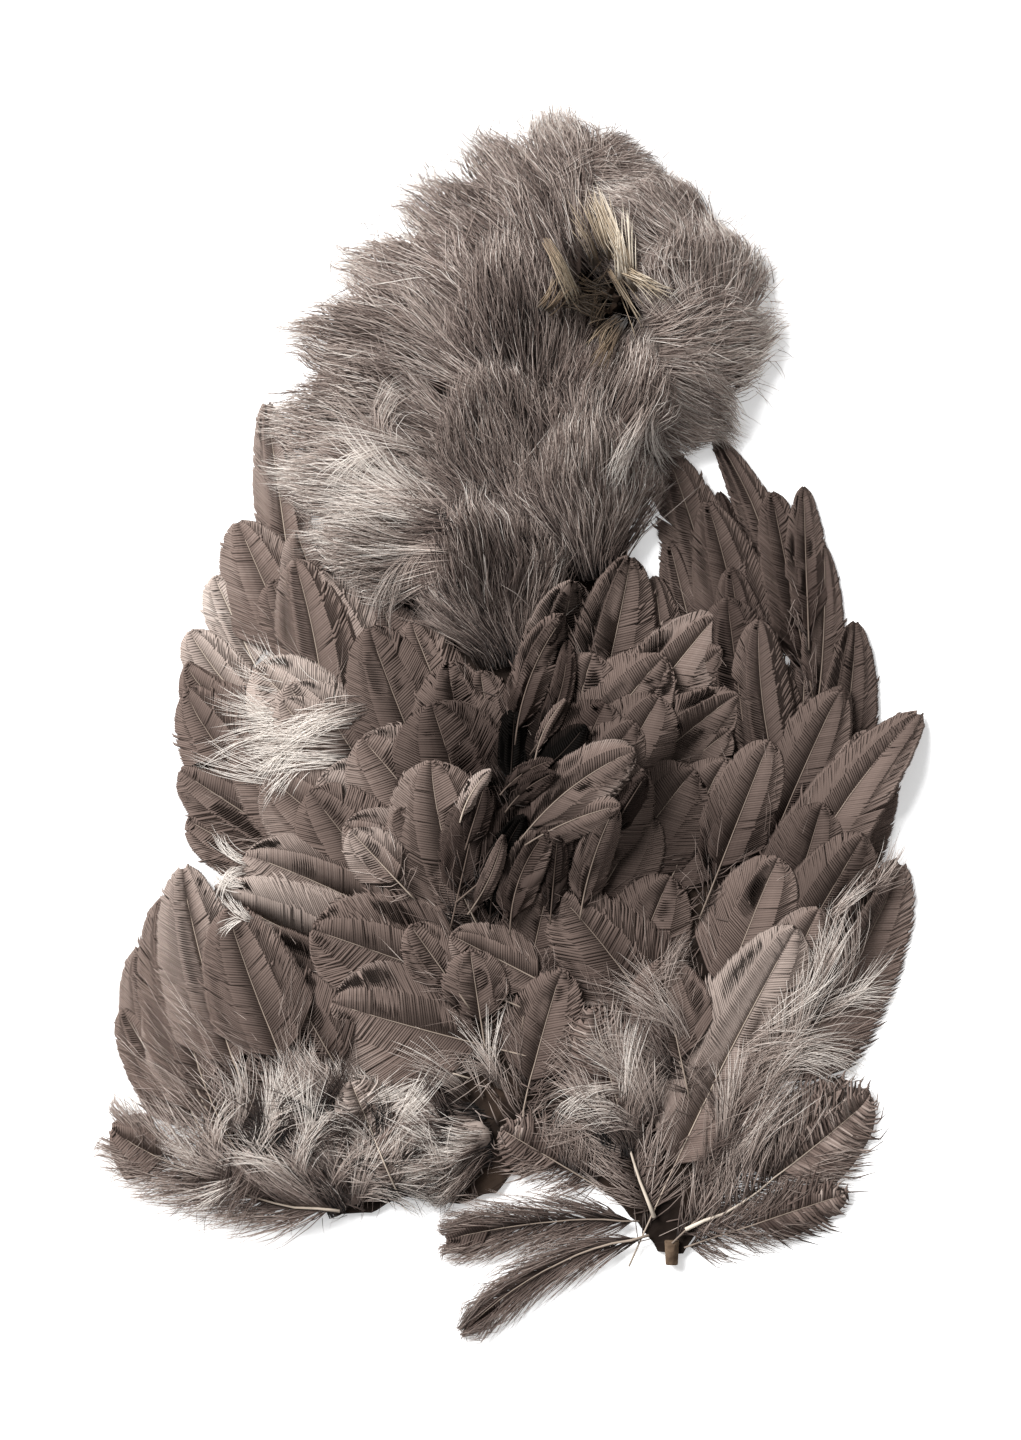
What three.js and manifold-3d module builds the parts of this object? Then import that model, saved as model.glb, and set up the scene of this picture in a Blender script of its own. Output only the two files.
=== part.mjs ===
// A rooster soft hackle patch: a dried piece of skin with its body feathers still on it, lying feather
// side up. Vaned hackles cover the flanks and the breast, and loose downy plumes cover the rump.
// Millimetres, +Z up. +X is the right of the patch as seen from above, and +Y runs from the cut breast
// edge to the rump. The origin is on the flat flesh side of the skin, near the middle of the patch.
import * as THREE from "three";
import { mergeVertices } from "three/addons/utils/BufferGeometryUtils.js";
import Module from "manifold-3d";

const wasm = await Module();
wasm.setup();

// Driving dimensions
const SKIN_THICKNESS = 1.2;
const LAY_GAP = 0.35; // air between a feather and what it lies on
const QUILL_WIDTH = 1.5;
const VANE_THICKNESS = 0.5;
const SHAFT_RISE = 0.8; // how far a shaft stands up from its vane at the quill
const PLUME_LOFT = 5; // thickness of a downy plume along its middle
const PLUME_RIM = 0.8; // thickness of a downy plume at its edge
const PLUME_FRINGE = 0.07; // share of a plume's width by which its edge goes in and out
const VENT = { x: 17, y: 84, rimRadius: 3.6, holeRadius: 1.6, height: 8, lip: 0.8 };
const STUB = { x: 30.5, y: -107, radius: 1.5, length: 5 }; // a cut tendon end at the breast edge

// How a feather is divided: rows along it, closer together where its outline turns
const VANE_ROWS = [0, 0.09, 0.22, 0.38, 0.55, 0.72, 0.86, 0.96, 1];
const PLUME_ROWS = [0, 0.14, 0.32, 0.52, 0.72, 0.89, 1];
const COLUMNS = 4;

// Where along its length a feather leaves its quill, reaches its full width and starts to round off
const VANE_OUTLINE = { quillEnd: 0.03, fullAt: 0.36, roundFrom: 0.5 };
const PLUME_OUTLINE = { quillEnd: -0.15, fullAt: 0.42, roundFrom: 0.55 };

// How feathers settle on each other
const GRID_REACH = 140;
const GRID_CELL = 1;
const FACET_SAMPLES = 7; // points tested along each side of a facet
const SETTLE_PASSES = 6;
const TAUTEN_PASSES = 3;
const SAG = 0.25; // how far a feather may hang below the line between its neighbours

const COLOURS = {
  skin: new THREE.MeshStandardMaterial({ color: 0x3b302b, roughness: 0.7, metalness: 0 }),
  vane: new THREE.MeshStandardMaterial({ color: 0x71645e, roughness: 0.6, metalness: 0 }),
  plume: new THREE.MeshStandardMaterial({ color: 0x8a7c75, roughness: 0.9, metalness: 0 }),
};

// The cut edge of the skin, seen from above and taken round to the left
const SKIN_EDGE = [
  [-37, -100], [-30, -99], [-24, -96], [-12, -97], [-5, -95], [2, -88], [14, -92], [24, -101],
  [28, -107], [33, -107], [37, -100], [46, -88], [54, -68], [62, -44], [66, -20], [62, 4],
  [50, 14], [38, 9], [29, 6], [23, 14], [21, 30], [24, 46], [30, 58], [34, 74],
  [32, 88], [22, 97], [8, 98], [-6, 92], [-18, 80], [-28, 64], [-36, 46], [-42, 26],
  [-50, 6], [-56, -14], [-58, -36], [-58, -58], [-64, -78], [-64, -92], [-52, -97],
];

// The feathers in the order in which they overlie each other, from the lowest. Each has the place of
// its root and its tip seen from above, its full width, and how far its middle bends to the left of
// the straight line from root to tip.
const TRACTS = [
  {
    name: "right_wing_feather",
    kind: "vane",
    feathers: [
      { root: [52, 8], tip: [38.5, 57.5], width: 10, bend: -5 },
      { root: [42, 6], tip: [28.5, 55], width: 17, bend: -2 },
      { root: [46, -2], tip: [37, 44], width: 17, bend: -2 },
      { root: [59, -2], tip: [61, 35], width: 9, bend: -1 },
      { root: [60, -22], tip: [67, 20], width: 13, bend: -2 },
    ],
  },
  {
    name: "left_flank_feather",
    kind: "vane",
    feathers: [
      { root: [-43, 8], tip: [-51, 64], width: 12, bend: 0 },
      { root: [-40, 2], tip: [-57, 40], width: 20, bend: 0 },
      { root: [-42, -10], tip: [-66.5, 12], width: 17, bend: 3 },
      { root: [-25, -8], tip: [-40, 30], width: 21, bend: 1 },
    ],
  },
  {
    name: "rump_plume",
    kind: "plume",
    feathers: [
      { root: [14, 90], tip: [5, 122], width: 28, bend: 0 },
      { root: [18, 90], tip: [19, 117], width: 26, bend: 0 },
      { root: [22, 88], tip: [34, 106], width: 26, bend: 1 },
      { root: [10, 87], tip: [-11, 116], width: 28, bend: -1 },
      { root: [6, 81], tip: [-25, 105], width: 28, bend: -2 },
      { root: [24, 84], tip: [48.5, 87], width: 27, bend: 2 },
      { root: [24, 77], tip: [50, 70], width: 26, bend: 2 },
      { root: [19, 68], tip: [42.5, 57], width: 22, bend: 2 },
    ],
  },
  {
    name: "side_plume",
    kind: "plume",
    feathers: [
      { root: [-4, 72], tip: [-37, 91], width: 30, bend: -2 },
      { root: [-8, 63], tip: [-47, 77], width: 30, bend: -2 },
      { root: [-10, 53], tip: [-51, 61], width: 28, bend: -1 },
      { root: [-10, 42], tip: [-49, 49], width: 25, bend: -1 },
      { root: [-8, 31], tip: [-43, 37], width: 24, bend: -2 },
    ],
  },
  {
    name: "belly_plume",
    kind: "plume",
    feathers: [
      { root: [5, 56], tip: [-3, 98], width: 29, bend: 1 },
      { root: [16, 50], tip: [24, 78], width: 24, bend: 1 },
      { root: [3, 36], tip: [-7, 72], width: 30, bend: 1 },
      { root: [14, 28], tip: [14, 63], width: 27, bend: 0 },
      { root: [1, 12], tip: [-9, 46], width: 29, bend: 2 },
    ],
  },
  {
    name: "left_breast_feather",
    kind: "vane",
    feathers: [
      { root: [-32, -30], tip: [-66.5, 7], width: 21, bend: 5 },
      { root: [-22, -32], tip: [-56, -2], width: 22, bend: 3 },
      { root: [-15, -32], tip: [-42, 8], width: 23, bend: 1 },
      { root: [-12, -25], tip: [-30, 19], width: 22, bend: 1 },
      { root: [-6, -28], tip: [-14, 12], width: 22, bend: 1 },
    ],
  },
  {
    name: "right_breast_feather",
    kind: "vane",
    feathers: [
      { root: [6, -10], tip: [11, 28], width: 18, bend: 1 },
      { root: [12, -10], tip: [22, 33], width: 18, bend: -1 },
      { root: [14, -13], tip: [40, 21], width: 19, bend: 1 },
      { root: [15, -19], tip: [44, 5], width: 19, bend: 1 },
      { root: [27, -46], tip: [42, -8], width: 21, bend: 2 },
      { root: [1, -25], tip: [24, -7], width: 15, bend: 2 },
      { root: [4, -45], tip: [13, -19], width: 18, bend: 1 },
    ],
  },
  {
    name: "right_flank_feather",
    kind: "vane",
    feathers: [
      { root: [46, -38], tip: [64.5, 6], width: 18, bend: 1 },
      { root: [54, -50], tip: [75, -9], width: 19, bend: 2 },
      { root: [45, -63], tip: [81, 1.5], width: 18, bend: 6 },
    ],
  },
  {
    name: "left_shield_feather",
    kind: "vane",
    feathers: [
      { root: [-14, -49], tip: [-56, -28], width: 23, bend: -3 },
      { root: [-11, -58], tip: [-62, -34], width: 24, bend: 1 },
      { root: [-10, -72], tip: [-47, -56], width: 23, bend: 1 },
    ],
  },
  {
    name: "lower_breast_feather",
    kind: "vane",
    feathers: [
      { root: [34, -74], tip: [6, -35], width: 24, bend: -3 },
      { root: [36, -92], tip: [76.5, -28], width: 22, bend: -4 },
      { root: [24, -101], tip: [-15, -105], width: 15, bend: -2 },
      { root: [0, -84], tip: [9, -50], width: 19, bend: 1 },
    ],
  },
  {
    name: "left_fan_feather",
    kind: "vane",
    feathers: [
      { root: [-57, -91], tip: [-76, -45], width: 18, bend: 4 },
      { root: [-54, -91], tip: [-71, -35], width: 18, bend: 4 },
      { root: [-48, -88], tip: [-67.5, -29], width: 20, bend: 3 },
      { root: [-40, -82], tip: [-58, -37], width: 22, bend: 2 },
    ],
  },
  {
    name: "edge_tuft",
    kind: "plume",
    feathers: [
      { root: [-31, -97], tip: [-46, -66], width: 25, bend: 1 },
      { root: [-6, -82], tip: [-30, -87], width: 21, bend: 1 },
    ],
  },
  {
    name: "edge_feather",
    kind: "vane",
    feathers: [
      { root: [27, -100], tip: [15, -57], width: 24, bend: 1 },
      { root: [33, -102], tip: [70, -74], width: 26, bend: -3 },
      { root: [-36, -98], tip: [-82, -81], width: 22, bend: 4 },
      { root: [26, -104], tip: [-10.5, -123], width: 12, bend: -4 },
    ],
  },
];

// What has been laid so far, as the height of its top over a square grid on the table.
class Ground {
  constructor() {
    this.side = Math.ceil((2 * GRID_REACH) / GRID_CELL);
    this.heights = new Float32Array(this.side * this.side);
  }

  cell(distance) {
    return Math.floor((distance + GRID_REACH) / GRID_CELL);
  }

  heightAt(point) {
    return this.heights[this.cell(point.y) * this.side + this.cell(point.x)];
  }

  // Raises the cell under a point and the cells around it, so that edges between cells are covered.
  raise(point, height) {
    const column = this.cell(point.x);
    const row = this.cell(point.y);
    for (let r = row - 1; r <= row + 1; r++) {
      for (let c = column - 1; c <= column + 1; c++) {
        const at = r * this.side + c;
        this.heights[at] = Math.max(this.heights[at], height);
      }
    }
  }

  // Raises every cell whose middle passes the test.
  raiseWhere(test, height) {
    for (let row = 0; row < this.side; row++) {
      for (let column = 0; column < this.side; column++) {
        const x = (column + 0.5) * GRID_CELL - GRID_REACH;
        const y = (row + 0.5) * GRID_CELL - GRID_REACH;
        if (test(x, y)) this.raise(new THREE.Vector2(x, y), height);
      }
    }
  }
}

// The geometry with only its places left, and its shared corners merged.
function welded(geometry) {
  geometry.deleteAttribute("normal");
  geometry.deleteAttribute("uv");
  return mergeVertices(geometry, 1e-4);
}

function toSolid(geometry) {
  const closed = welded(geometry);
  return new wasm.Manifold(
    new wasm.Mesh({
      numProp: 3,
      vertProperties: new Float32Array(closed.attributes.position.array),
      triVerts: new Uint32Array(closed.index.array),
    }),
  );
}

function toGeometry(solid) {
  const mesh = solid.getMesh();
  const geometry = new THREE.BufferGeometry();
  geometry.setAttribute("position", new THREE.BufferAttribute(mesh.vertProperties, 3));
  geometry.setIndex(new THREE.BufferAttribute(mesh.triVerts, 1));
  geometry.computeVertexNormals();
  return geometry;
}

// The skin: a thin plate with a ragged cut edge, the raised rim of the vent, and a cut tendon end.
function makeSkin() {
  const edge = SKIN_EDGE.map(([x, y]) => new THREE.Vector2(x, y));
  const plate = new THREE.ExtrudeGeometry(new THREE.Shape(edge), {
    depth: SKIN_THICKNESS,
    bevelEnabled: false,
  });

  const foot = SKIN_THICKNESS / 2; // the rim and the stub start inside the plate
  const rimProfile = [
    [VENT.holeRadius, foot],
    [VENT.rimRadius, foot],
    [VENT.rimRadius - VENT.lip, VENT.height],
    [VENT.holeRadius, VENT.height + VENT.lip],
    [VENT.holeRadius, foot],
  ].map(([radius, height]) => new THREE.Vector2(radius, height));
  const rim = new THREE.LatheGeometry(rimProfile, 12);
  rim.rotateX(Math.PI / 2);
  rim.translate(VENT.x, VENT.y, 0);

  const stub = new THREE.CylinderGeometry(STUB.radius, STUB.radius, STUB.length, 8);
  stub.translate(STUB.x, STUB.y, STUB.radius + 0.2);

  const solid = toSolid(plate).add(toSolid(rim)).add(toSolid(stub));
  const skin = new THREE.Mesh(toGeometry(solid), COLOURS.skin);
  skin.name = "skin";
  return skin;
}

// Notes the skin's top in the ground: even-odd test of its edge, then the vent's rim over it.
function laySkin(ground) {
  const inside = (x, y) =>
    SKIN_EDGE.reduce((odd, [ax, ay], k) => {
      const [bx, by] = SKIN_EDGE[(k + 1) % SKIN_EDGE.length];
      const crosses = ay > y !== by > y && x < ax + ((y - ay) / (by - ay)) * (bx - ax);
      return crosses ? !odd : odd;
    }, false);
  ground.raiseWhere(inside, SKIN_THICKNESS);
  const onRim = (x, y) => Math.hypot(x - VENT.x, y - VENT.y) < VENT.rimRadius;
  ground.raiseWhere(onRim, VENT.height + VENT.lip);
  const onStub = (x, y) =>
    Math.abs(x - STUB.x) < STUB.radius && Math.abs(y - STUB.y) < STUB.length / 2;
  ground.raiseWhere(onStub, 2 * STUB.radius + 0.2);
}

// Half the width of a feather at a share of its length.
function halfWidth(share, width, outline) {
  const spread = THREE.MathUtils.smoothstep(share, outline.quillEnd, outline.fullAt);
  const past = Math.max(0, (share - outline.roundFrom) / (1 - outline.roundFrom));
  const round = Math.sqrt(Math.max(0, 1 - past * past));
  return Math.max(QUILL_WIDTH / 2, (width / 2) * spread * round);
}

// Where the columns of a row stand across a feather, from its left edge to its right edge. A vane's
// inner columns bound its shaft, and a plume's are spread evenly.
function columnOffsets(kind, half) {
  const inner = kind === "vane" ? Math.min(half / 2, QUILL_WIDTH / 2) : half / 2;
  return [-half, -inner, 0, inner, half];
}

// How thick a feather is at one place, from its rows' share and its column.
function thickness(kind, share, column) {
  const fromMiddle = Math.abs(column - COLUMNS / 2) / (COLUMNS / 2);
  if (kind === "vane") {
    const shaft = column === COLUMNS / 2 ? SHAFT_RISE * (1 - 0.8 * share) : 0;
    return VANE_THICKNESS + shaft;
  }
  const crown = Math.sqrt(1 - fromMiddle * fromMiddle);
  const swell = Math.sqrt(Math.max(0, Math.sin(Math.PI * Math.min(1, 0.08 + 0.86 * share))));
  return PLUME_RIM + (PLUME_LOFT - PLUME_RIM) * crown * swell;
}

// A feather's corners seen from above, in its own frame: +Y from its root towards its tip.
function planOf(kind, length, width, bend) {
  const rows = kind === "vane" ? VANE_ROWS : PLUME_ROWS;
  const outline = kind === "vane" ? VANE_OUTLINE : PLUME_OUTLINE;
  const middle = new THREE.QuadraticBezierCurve(
    new THREE.Vector2(0, 0),
    new THREE.Vector2(-2 * bend, length / 2),
    new THREE.Vector2(0, length),
  );
  return rows.map((share, row) => {
    const at = middle.getPoint(share);
    const along = middle.getTangent(share);
    const fringe = kind === "plume" ? 1 + PLUME_FRINGE * (row % 2 ? 1 : -1) : 1;
    const half = halfWidth(share, width, outline) * fringe;
    return columnOffsets(kind, half).map(
      (offset) => new THREE.Vector2(at.x + along.y * offset, at.y - along.x * offset),
    );
  });
}

// The corners of the facet between rows i and i + 1 and columns j and j + 1.
function facetCorners(i, j) {
  return [[i, j], [i, j + 1], [i + 1, j], [i + 1, j + 1]];
}

// A place inside the facet between rows i and i + 1 and columns j and j + 1.
function facetPoint(plan, i, j, s, t) {
  const near = plan[i][j].clone().lerp(plan[i][j + 1], s);
  const far = plan[i + 1][j].clone().lerp(plan[i + 1][j + 1], s);
  return near.lerp(far, t);
}

// The height there, for a facet split along either diagonal: pick takes the lower or the higher one.
function facetHeight(heights, i, j, s, t, pick) {
  const a = heights[i][j];
  const b = heights[i][j + 1];
  const c = heights[i + 1][j];
  const d = heights[i + 1][j + 1];
  const splitAD = s >= t ? a + s * (b - a) + t * (d - b) : a + t * (c - a) + s * (d - c);
  const splitBC =
    s + t <= 1 ? a + s * (b - a) + t * (c - a) : d + (1 - s) * (c - d) + (1 - t) * (b - d);
  return pick(splitAD, splitBC);
}

// Calls visit for a grid of sample places over every facet of a feather.
function overFacets(plan, visit) {
  for (let i = 0; i + 1 < plan.length; i++) {
    for (let j = 0; j < COLUMNS; j++) {
      for (let p = 0; p <= FACET_SAMPLES; p++) {
        for (let q = 0; q <= FACET_SAMPLES; q++) visit(i, j, p / FACET_SAMPLES, q / FACET_SAMPLES);
      }
    }
  }
}

// The heights of a feather's underside, so that it lies clear on the ground, drawn taut along its length.
// Each place that is too low lifts the corners of its facet, the nearest one most, and no corner goes
// higher than the highest ground under the facets that meet there.
function settle(plan, ground) {
  const needed = (i, j, s, t) => ground.heightAt(facetPoint(plan, i, j, s, t)) + LAY_GAP;
  const under = plan.map((row) => row.map((point) => ground.heightAt(point) + LAY_GAP));
  const ceiling = under.map((row) => row.slice());
  overFacets(plan, (i, j, s, t) => {
    for (const [row, column] of facetCorners(i, j)) {
      ceiling[row][column] = Math.max(ceiling[row][column], needed(i, j, s, t));
    }
  });

  for (let pass = 0; pass < SETTLE_PASSES; pass++) {
    overFacets(plan, (i, j, s, t) => {
      const short = needed(i, j, s, t) - facetHeight(under, i, j, s, t, Math.min);
      if (short <= 0) return;
      const shares = [(1 - s) * (1 - t), s * (1 - t), (1 - s) * t, s * t];
      const whole = shares.reduce((sum, share) => sum + share * share, 0);
      facetCorners(i, j).forEach(([row, column], k) => {
        const lifted = under[row][column] + (short * shares[k]) / whole;
        under[row][column] = Math.min(lifted, ceiling[row][column]);
      });
    });
  }
  for (let pass = 0; pass < TAUTEN_PASSES; pass++) {
    for (let i = 1; i + 1 < under.length; i++) {
      for (let j = 0; j <= COLUMNS; j++) {
        const line = (under[i - 1][j] + under[i + 1][j]) / 2;
        under[i][j] = Math.max(under[i][j], line - SAG);
      }
    }
  }
  overFacets(plan, (i, j, s, t) => {
    if (facetHeight(under, i, j, s, t, Math.min) >= needed(i, j, s, t)) return;
    for (const [row, column] of facetCorners(i, j)) {
      under[row][column] = Math.max(under[row][column], needed(i, j, s, t));
    }
  });
  return under;
}

// One feather: a box of rows and columns, bent to the feather's outline and laid on the ground.
function makeFeather(name, kind, { root, tip, width, bend }, ground) {
  const from = new THREE.Vector2(...root);
  const reach = new THREE.Vector2(...tip).sub(from);
  const heading = reach.angle() - Math.PI / 2;
  const plan = planOf(kind, reach.length(), width, bend);
  const onTable = plan.map((row) =>
    row.map((point) => point.clone().rotateAround(new THREE.Vector2(), heading).add(from)),
  );

  const rows = kind === "vane" ? VANE_ROWS : PLUME_ROWS;
  const under = settle(onTable, ground);
  const top = under.map((row, i) => row.map((z, j) => z + thickness(kind, rows[i], j)));
  overFacets(onTable, (i, j, s, t) => {
    ground.raise(facetPoint(onTable, i, j, s, t), facetHeight(top, i, j, s, t, Math.max));
  });

  const last = rows.length - 1;
  const geometry = new THREE.BoxGeometry(COLUMNS, last, 1, COLUMNS, last, 1);
  const corner = geometry.attributes.position;
  for (let k = 0; k < corner.count; k++) {
    const i = Math.round(corner.getY(k) + last / 2);
    const j = Math.round(corner.getX(k) + COLUMNS / 2);
    const height = corner.getZ(k) > 0 ? top[i][j] : under[i][j];
    corner.setXYZ(k, plan[i][j].x, plan[i][j].y, height);
  }
  const solid = welded(geometry);
  solid.computeVertexNormals();

  const feather = new THREE.Mesh(solid, COLOURS[kind]);
  feather.name = name;
  feather.position.set(from.x, from.y, 0);
  feather.rotation.z = heading;
  return feather;
}

const patch = new THREE.Group();
const ground = new Ground();
patch.add(makeSkin());
laySkin(ground);
for (const tract of TRACTS) {
  tract.feathers.forEach((feather, k) => {
    const name = `${tract.name}_${String(k + 1).padStart(2, "0")}`;
    patch.add(makeFeather(name, tract.kind, feather, ground));
  });
}

export default patch;
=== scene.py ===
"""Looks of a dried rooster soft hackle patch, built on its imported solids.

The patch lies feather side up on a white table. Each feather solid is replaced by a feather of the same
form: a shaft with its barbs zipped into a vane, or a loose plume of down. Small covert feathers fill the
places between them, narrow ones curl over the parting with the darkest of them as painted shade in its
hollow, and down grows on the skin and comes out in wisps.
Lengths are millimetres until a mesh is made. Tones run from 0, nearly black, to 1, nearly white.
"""

from __future__ import annotations

import logging
import math
from dataclasses import dataclass, field, replace
from enum import Enum
from typing import ClassVar

import bmesh
import bpy
import numpy as np
from mathutils import Matrix, Vector, noise
from mathutils.bvhtree import BVHTree


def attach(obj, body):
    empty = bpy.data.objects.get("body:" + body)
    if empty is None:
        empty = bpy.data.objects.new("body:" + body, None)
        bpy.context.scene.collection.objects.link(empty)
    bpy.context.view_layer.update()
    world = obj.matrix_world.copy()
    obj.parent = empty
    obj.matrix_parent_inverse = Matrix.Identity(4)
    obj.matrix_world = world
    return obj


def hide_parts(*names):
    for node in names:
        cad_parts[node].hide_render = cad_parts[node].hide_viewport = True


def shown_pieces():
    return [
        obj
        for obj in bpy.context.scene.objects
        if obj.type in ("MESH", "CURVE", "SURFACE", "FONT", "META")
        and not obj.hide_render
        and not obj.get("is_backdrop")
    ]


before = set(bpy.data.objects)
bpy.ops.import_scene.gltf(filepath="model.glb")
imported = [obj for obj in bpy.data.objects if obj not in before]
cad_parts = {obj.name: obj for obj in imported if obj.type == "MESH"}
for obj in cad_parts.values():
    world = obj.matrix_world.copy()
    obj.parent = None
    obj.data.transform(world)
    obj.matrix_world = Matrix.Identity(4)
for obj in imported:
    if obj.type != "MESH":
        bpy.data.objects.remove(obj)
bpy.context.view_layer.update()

LOG = logging.getLogger("hackle_patch")
MM = 0.001
BODY = "root"
IMAGE_SIZE = (1021, 1440)
PIXELS_PER_MM = 5.0
IMAGE_CENTRE = (-1.9, 0.0)  # the point of the table that the middle of the picture shows
UP = np.array([0.0, 0.0, 1.0])
DOWNWARDS = Vector((0, 0, -1))
LOOKOUT = 1000.0  # a height in millimetres that is well above or, negative, well below every solid


class Slot(Enum):
    """Kinds of piece, named when each piece is made, though nothing reads them."""

    SKIN = "skin"
    VANE = "vane"
    DOWN = "down"


class Section(Enum):
    """Cross-sections of a strand, as (sideways, upwards) corners for a strand one unit wide."""

    BLADE = ((-0.5, 0.0), (0.5, 0.0), (0.0, 0.4))
    LEAF = ((-0.5, 0.0), (0.5, 0.0), (0.0, 0.025))
    ROUND = tuple((0.5 * math.cos(k * math.tau / 5), 0.5 * math.sin(k * math.tau / 5)) for k in range(5))


def linear(colour: tuple[int, int, int]) -> tuple[float, float, float, float]:
    """Turns a display colour into the linear one that shaders take.

    Args:
        colour: Red, green and blue, each from 0 to 255.

    Returns:
        The linear colour with full alpha.
    """
    parts = [c / 255 for c in colour]
    curve = [c / 12.92 if c <= 0.04045 else ((c + 0.055) / 1.055) ** 2.4 for c in parts]
    return (curve[0], curve[1], curve[2], 1.0)


def ease(value: np.ndarray, start: float, end: float) -> np.ndarray:
    """Rises smoothly from 0 at start to 1 at end.

    Args:
        value: The places to read the rise at.
        start: Where it begins.
        end: Where it is complete.

    Returns:
        The rise, with the shape of value.
    """
    share = np.clip((value - start) / (end - start), 0.0, 1.0)
    return share * share * (3 - 2 * share)


class Shader:
    """A node material with one Principled shader, and short ways to add nodes to it."""

    SPECULAR: ClassVar[float] = 0.02

    def __init__(self, name: str, roughness: float, sheen: float = 0.0) -> None:
        """Makes the material.

        Args:
            name: The material's name.
            roughness: Roughness of the whole surface.
            sheen: Weight of the soft sheen at grazing angles.
        """
        self.material = bpy.data.materials.new(name)
        self.material.use_nodes = True
        self.nodes = self.material.node_tree.nodes
        self.links = self.material.node_tree.links
        self.principled = self.nodes["Principled BSDF"]
        self.principled.inputs["Roughness"].default_value = roughness
        self.principled.inputs["Sheen Weight"].default_value = sheen
        self.principled.inputs["Specular IOR Level"].default_value = self.SPECULAR

    def add(self, kind: str, **settings: object) -> bpy.types.Node:
        """Adds a node.

        Args:
            kind: The node's type name.
            settings: Attributes to set on it.

        Returns:
            The new node.
        """
        node = self.nodes.new(kind)
        for name, value in settings.items():
            setattr(node, name, value)
        return node

    def ramp(self, source: bpy.types.NodeSocket, stops: tuple) -> bpy.types.NodeSocket:
        """Adds a colour ramp.

        Args:
            source: The value that it reads.
            stops: Pairs of a position and a display colour.

        Returns:
            The ramp's colour.
        """
        node = self.add("ShaderNodeValToRGB")
        elements = node.color_ramp.elements
        while len(elements) < len(stops):
            elements.new(0.5)
        for element, (position, colour) in zip(elements, stops):
            element.position = position
            element.color = linear(colour)
        self.links.new(source, node.inputs["Fac"])
        return node.outputs["Color"]

    def noise(self, source: bpy.types.NodeSocket, scale: float, detail: float) -> bpy.types.NodeSocket:
        """Adds a noise pattern.

        Args:
            source: The coordinates that it reads.
            scale: Repeats per unit of them.
            detail: Octaves of finer noise.

        Returns:
            The noise, around a half.
        """
        node = self.add("ShaderNodeTexNoise")
        node.inputs["Scale"].default_value = scale
        node.inputs["Detail"].default_value = detail
        self.links.new(source, node.inputs["Vector"])
        return node.outputs["Fac"]

    def spread(self, source: bpy.types.NodeSocket, low: float, high: float) -> bpy.types.NodeSocket:
        """Stretches a value from the range 0 to 1 onto another range.

        Args:
            source: The value.
            low: What 0 becomes.
            high: What 1 becomes.

        Returns:
            The stretched value.
        """
        node = self.add("ShaderNodeMapRange")
        node.inputs["To Min"].default_value = low
        node.inputs["To Max"].default_value = high
        self.links.new(source, node.inputs["Value"])
        return node.outputs["Result"]

    def math(self, operation: str, one: object, two: object) -> bpy.types.NodeSocket:
        """Adds a sum or product of two values.

        Args:
            operation: The node's operation.
            one: A socket or a number.
            two: A socket or a number.

        Returns:
            The result.
        """
        node = self.add("ShaderNodeMath", operation=operation)
        for socket, value in zip(node.inputs, (one, two)):
            if isinstance(value, bpy.types.NodeSocket):
                self.links.new(value, socket)
            else:
                socket.default_value = value
        return node.outputs["Value"]

    def colour(self, source: bpy.types.NodeSocket) -> None:
        """Gives the surface its colour."""
        self.links.new(source, self.principled.inputs["Base Color"])

    def bump(self, source: bpy.types.NodeSocket, strength: float, depth: float) -> None:
        """Gives the surface fine relief.

        Args:
            source: The relief's height, from 0 to 1.
            strength: How strongly it shows.
            depth: Its depth in millimetres.
        """
        node = self.add("ShaderNodeBump")
        node.inputs["Strength"].default_value = strength
        node.inputs["Distance"].default_value = depth * MM
        self.links.new(source, node.inputs["Height"])
        self.links.new(node.outputs["Normal"], self.principled.inputs["Normal"])


@dataclass(frozen=True)
class BarbFinish:
    """The finish of barbs, whose map holds their tone across and the way along them upwards."""

    name: str
    stops: tuple
    roughness: float
    sheen: float
    mottle: float

    MAP: ClassVar[str] = "Barb"
    BAKE_MAP: ClassVar[str] = "OFBake"
    MOTTLE_SCALE: ClassVar[float] = 14.0
    MOTTLE_DETAIL: ClassVar[float] = 3.0
    ROUGHER_TIP: ClassVar[float] = 0.2

    def material(self) -> bpy.types.Material:
        """Makes the barbs' material.

        Returns:
            The material, coloured by tone with a fine mottle along each barb.
        """
        shader = Shader(self.name, self.roughness, self.sheen)
        place = shader.add("ShaderNodeUVMap", uv_map=self.MAP).outputs["UV"]
        parts = shader.add("ShaderNodeSeparateXYZ")
        shader.links.new(place, parts.inputs["Vector"])
        cloud = shader.noise(place, self.MOTTLE_SCALE, self.MOTTLE_DETAIL)
        mottle = shader.spread(cloud, -self.mottle, self.mottle)
        tone = shader.math("ADD", parts.outputs["X"], mottle)
        shader.colour(shader.ramp(tone, self.stops))
        tip = min(1.0, self.roughness + self.ROUGHER_TIP)
        rough = shader.spread(parts.outputs["Y"], self.roughness, tip)
        shader.links.new(rough, shader.principled.inputs["Roughness"])
        return shader.material


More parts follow.
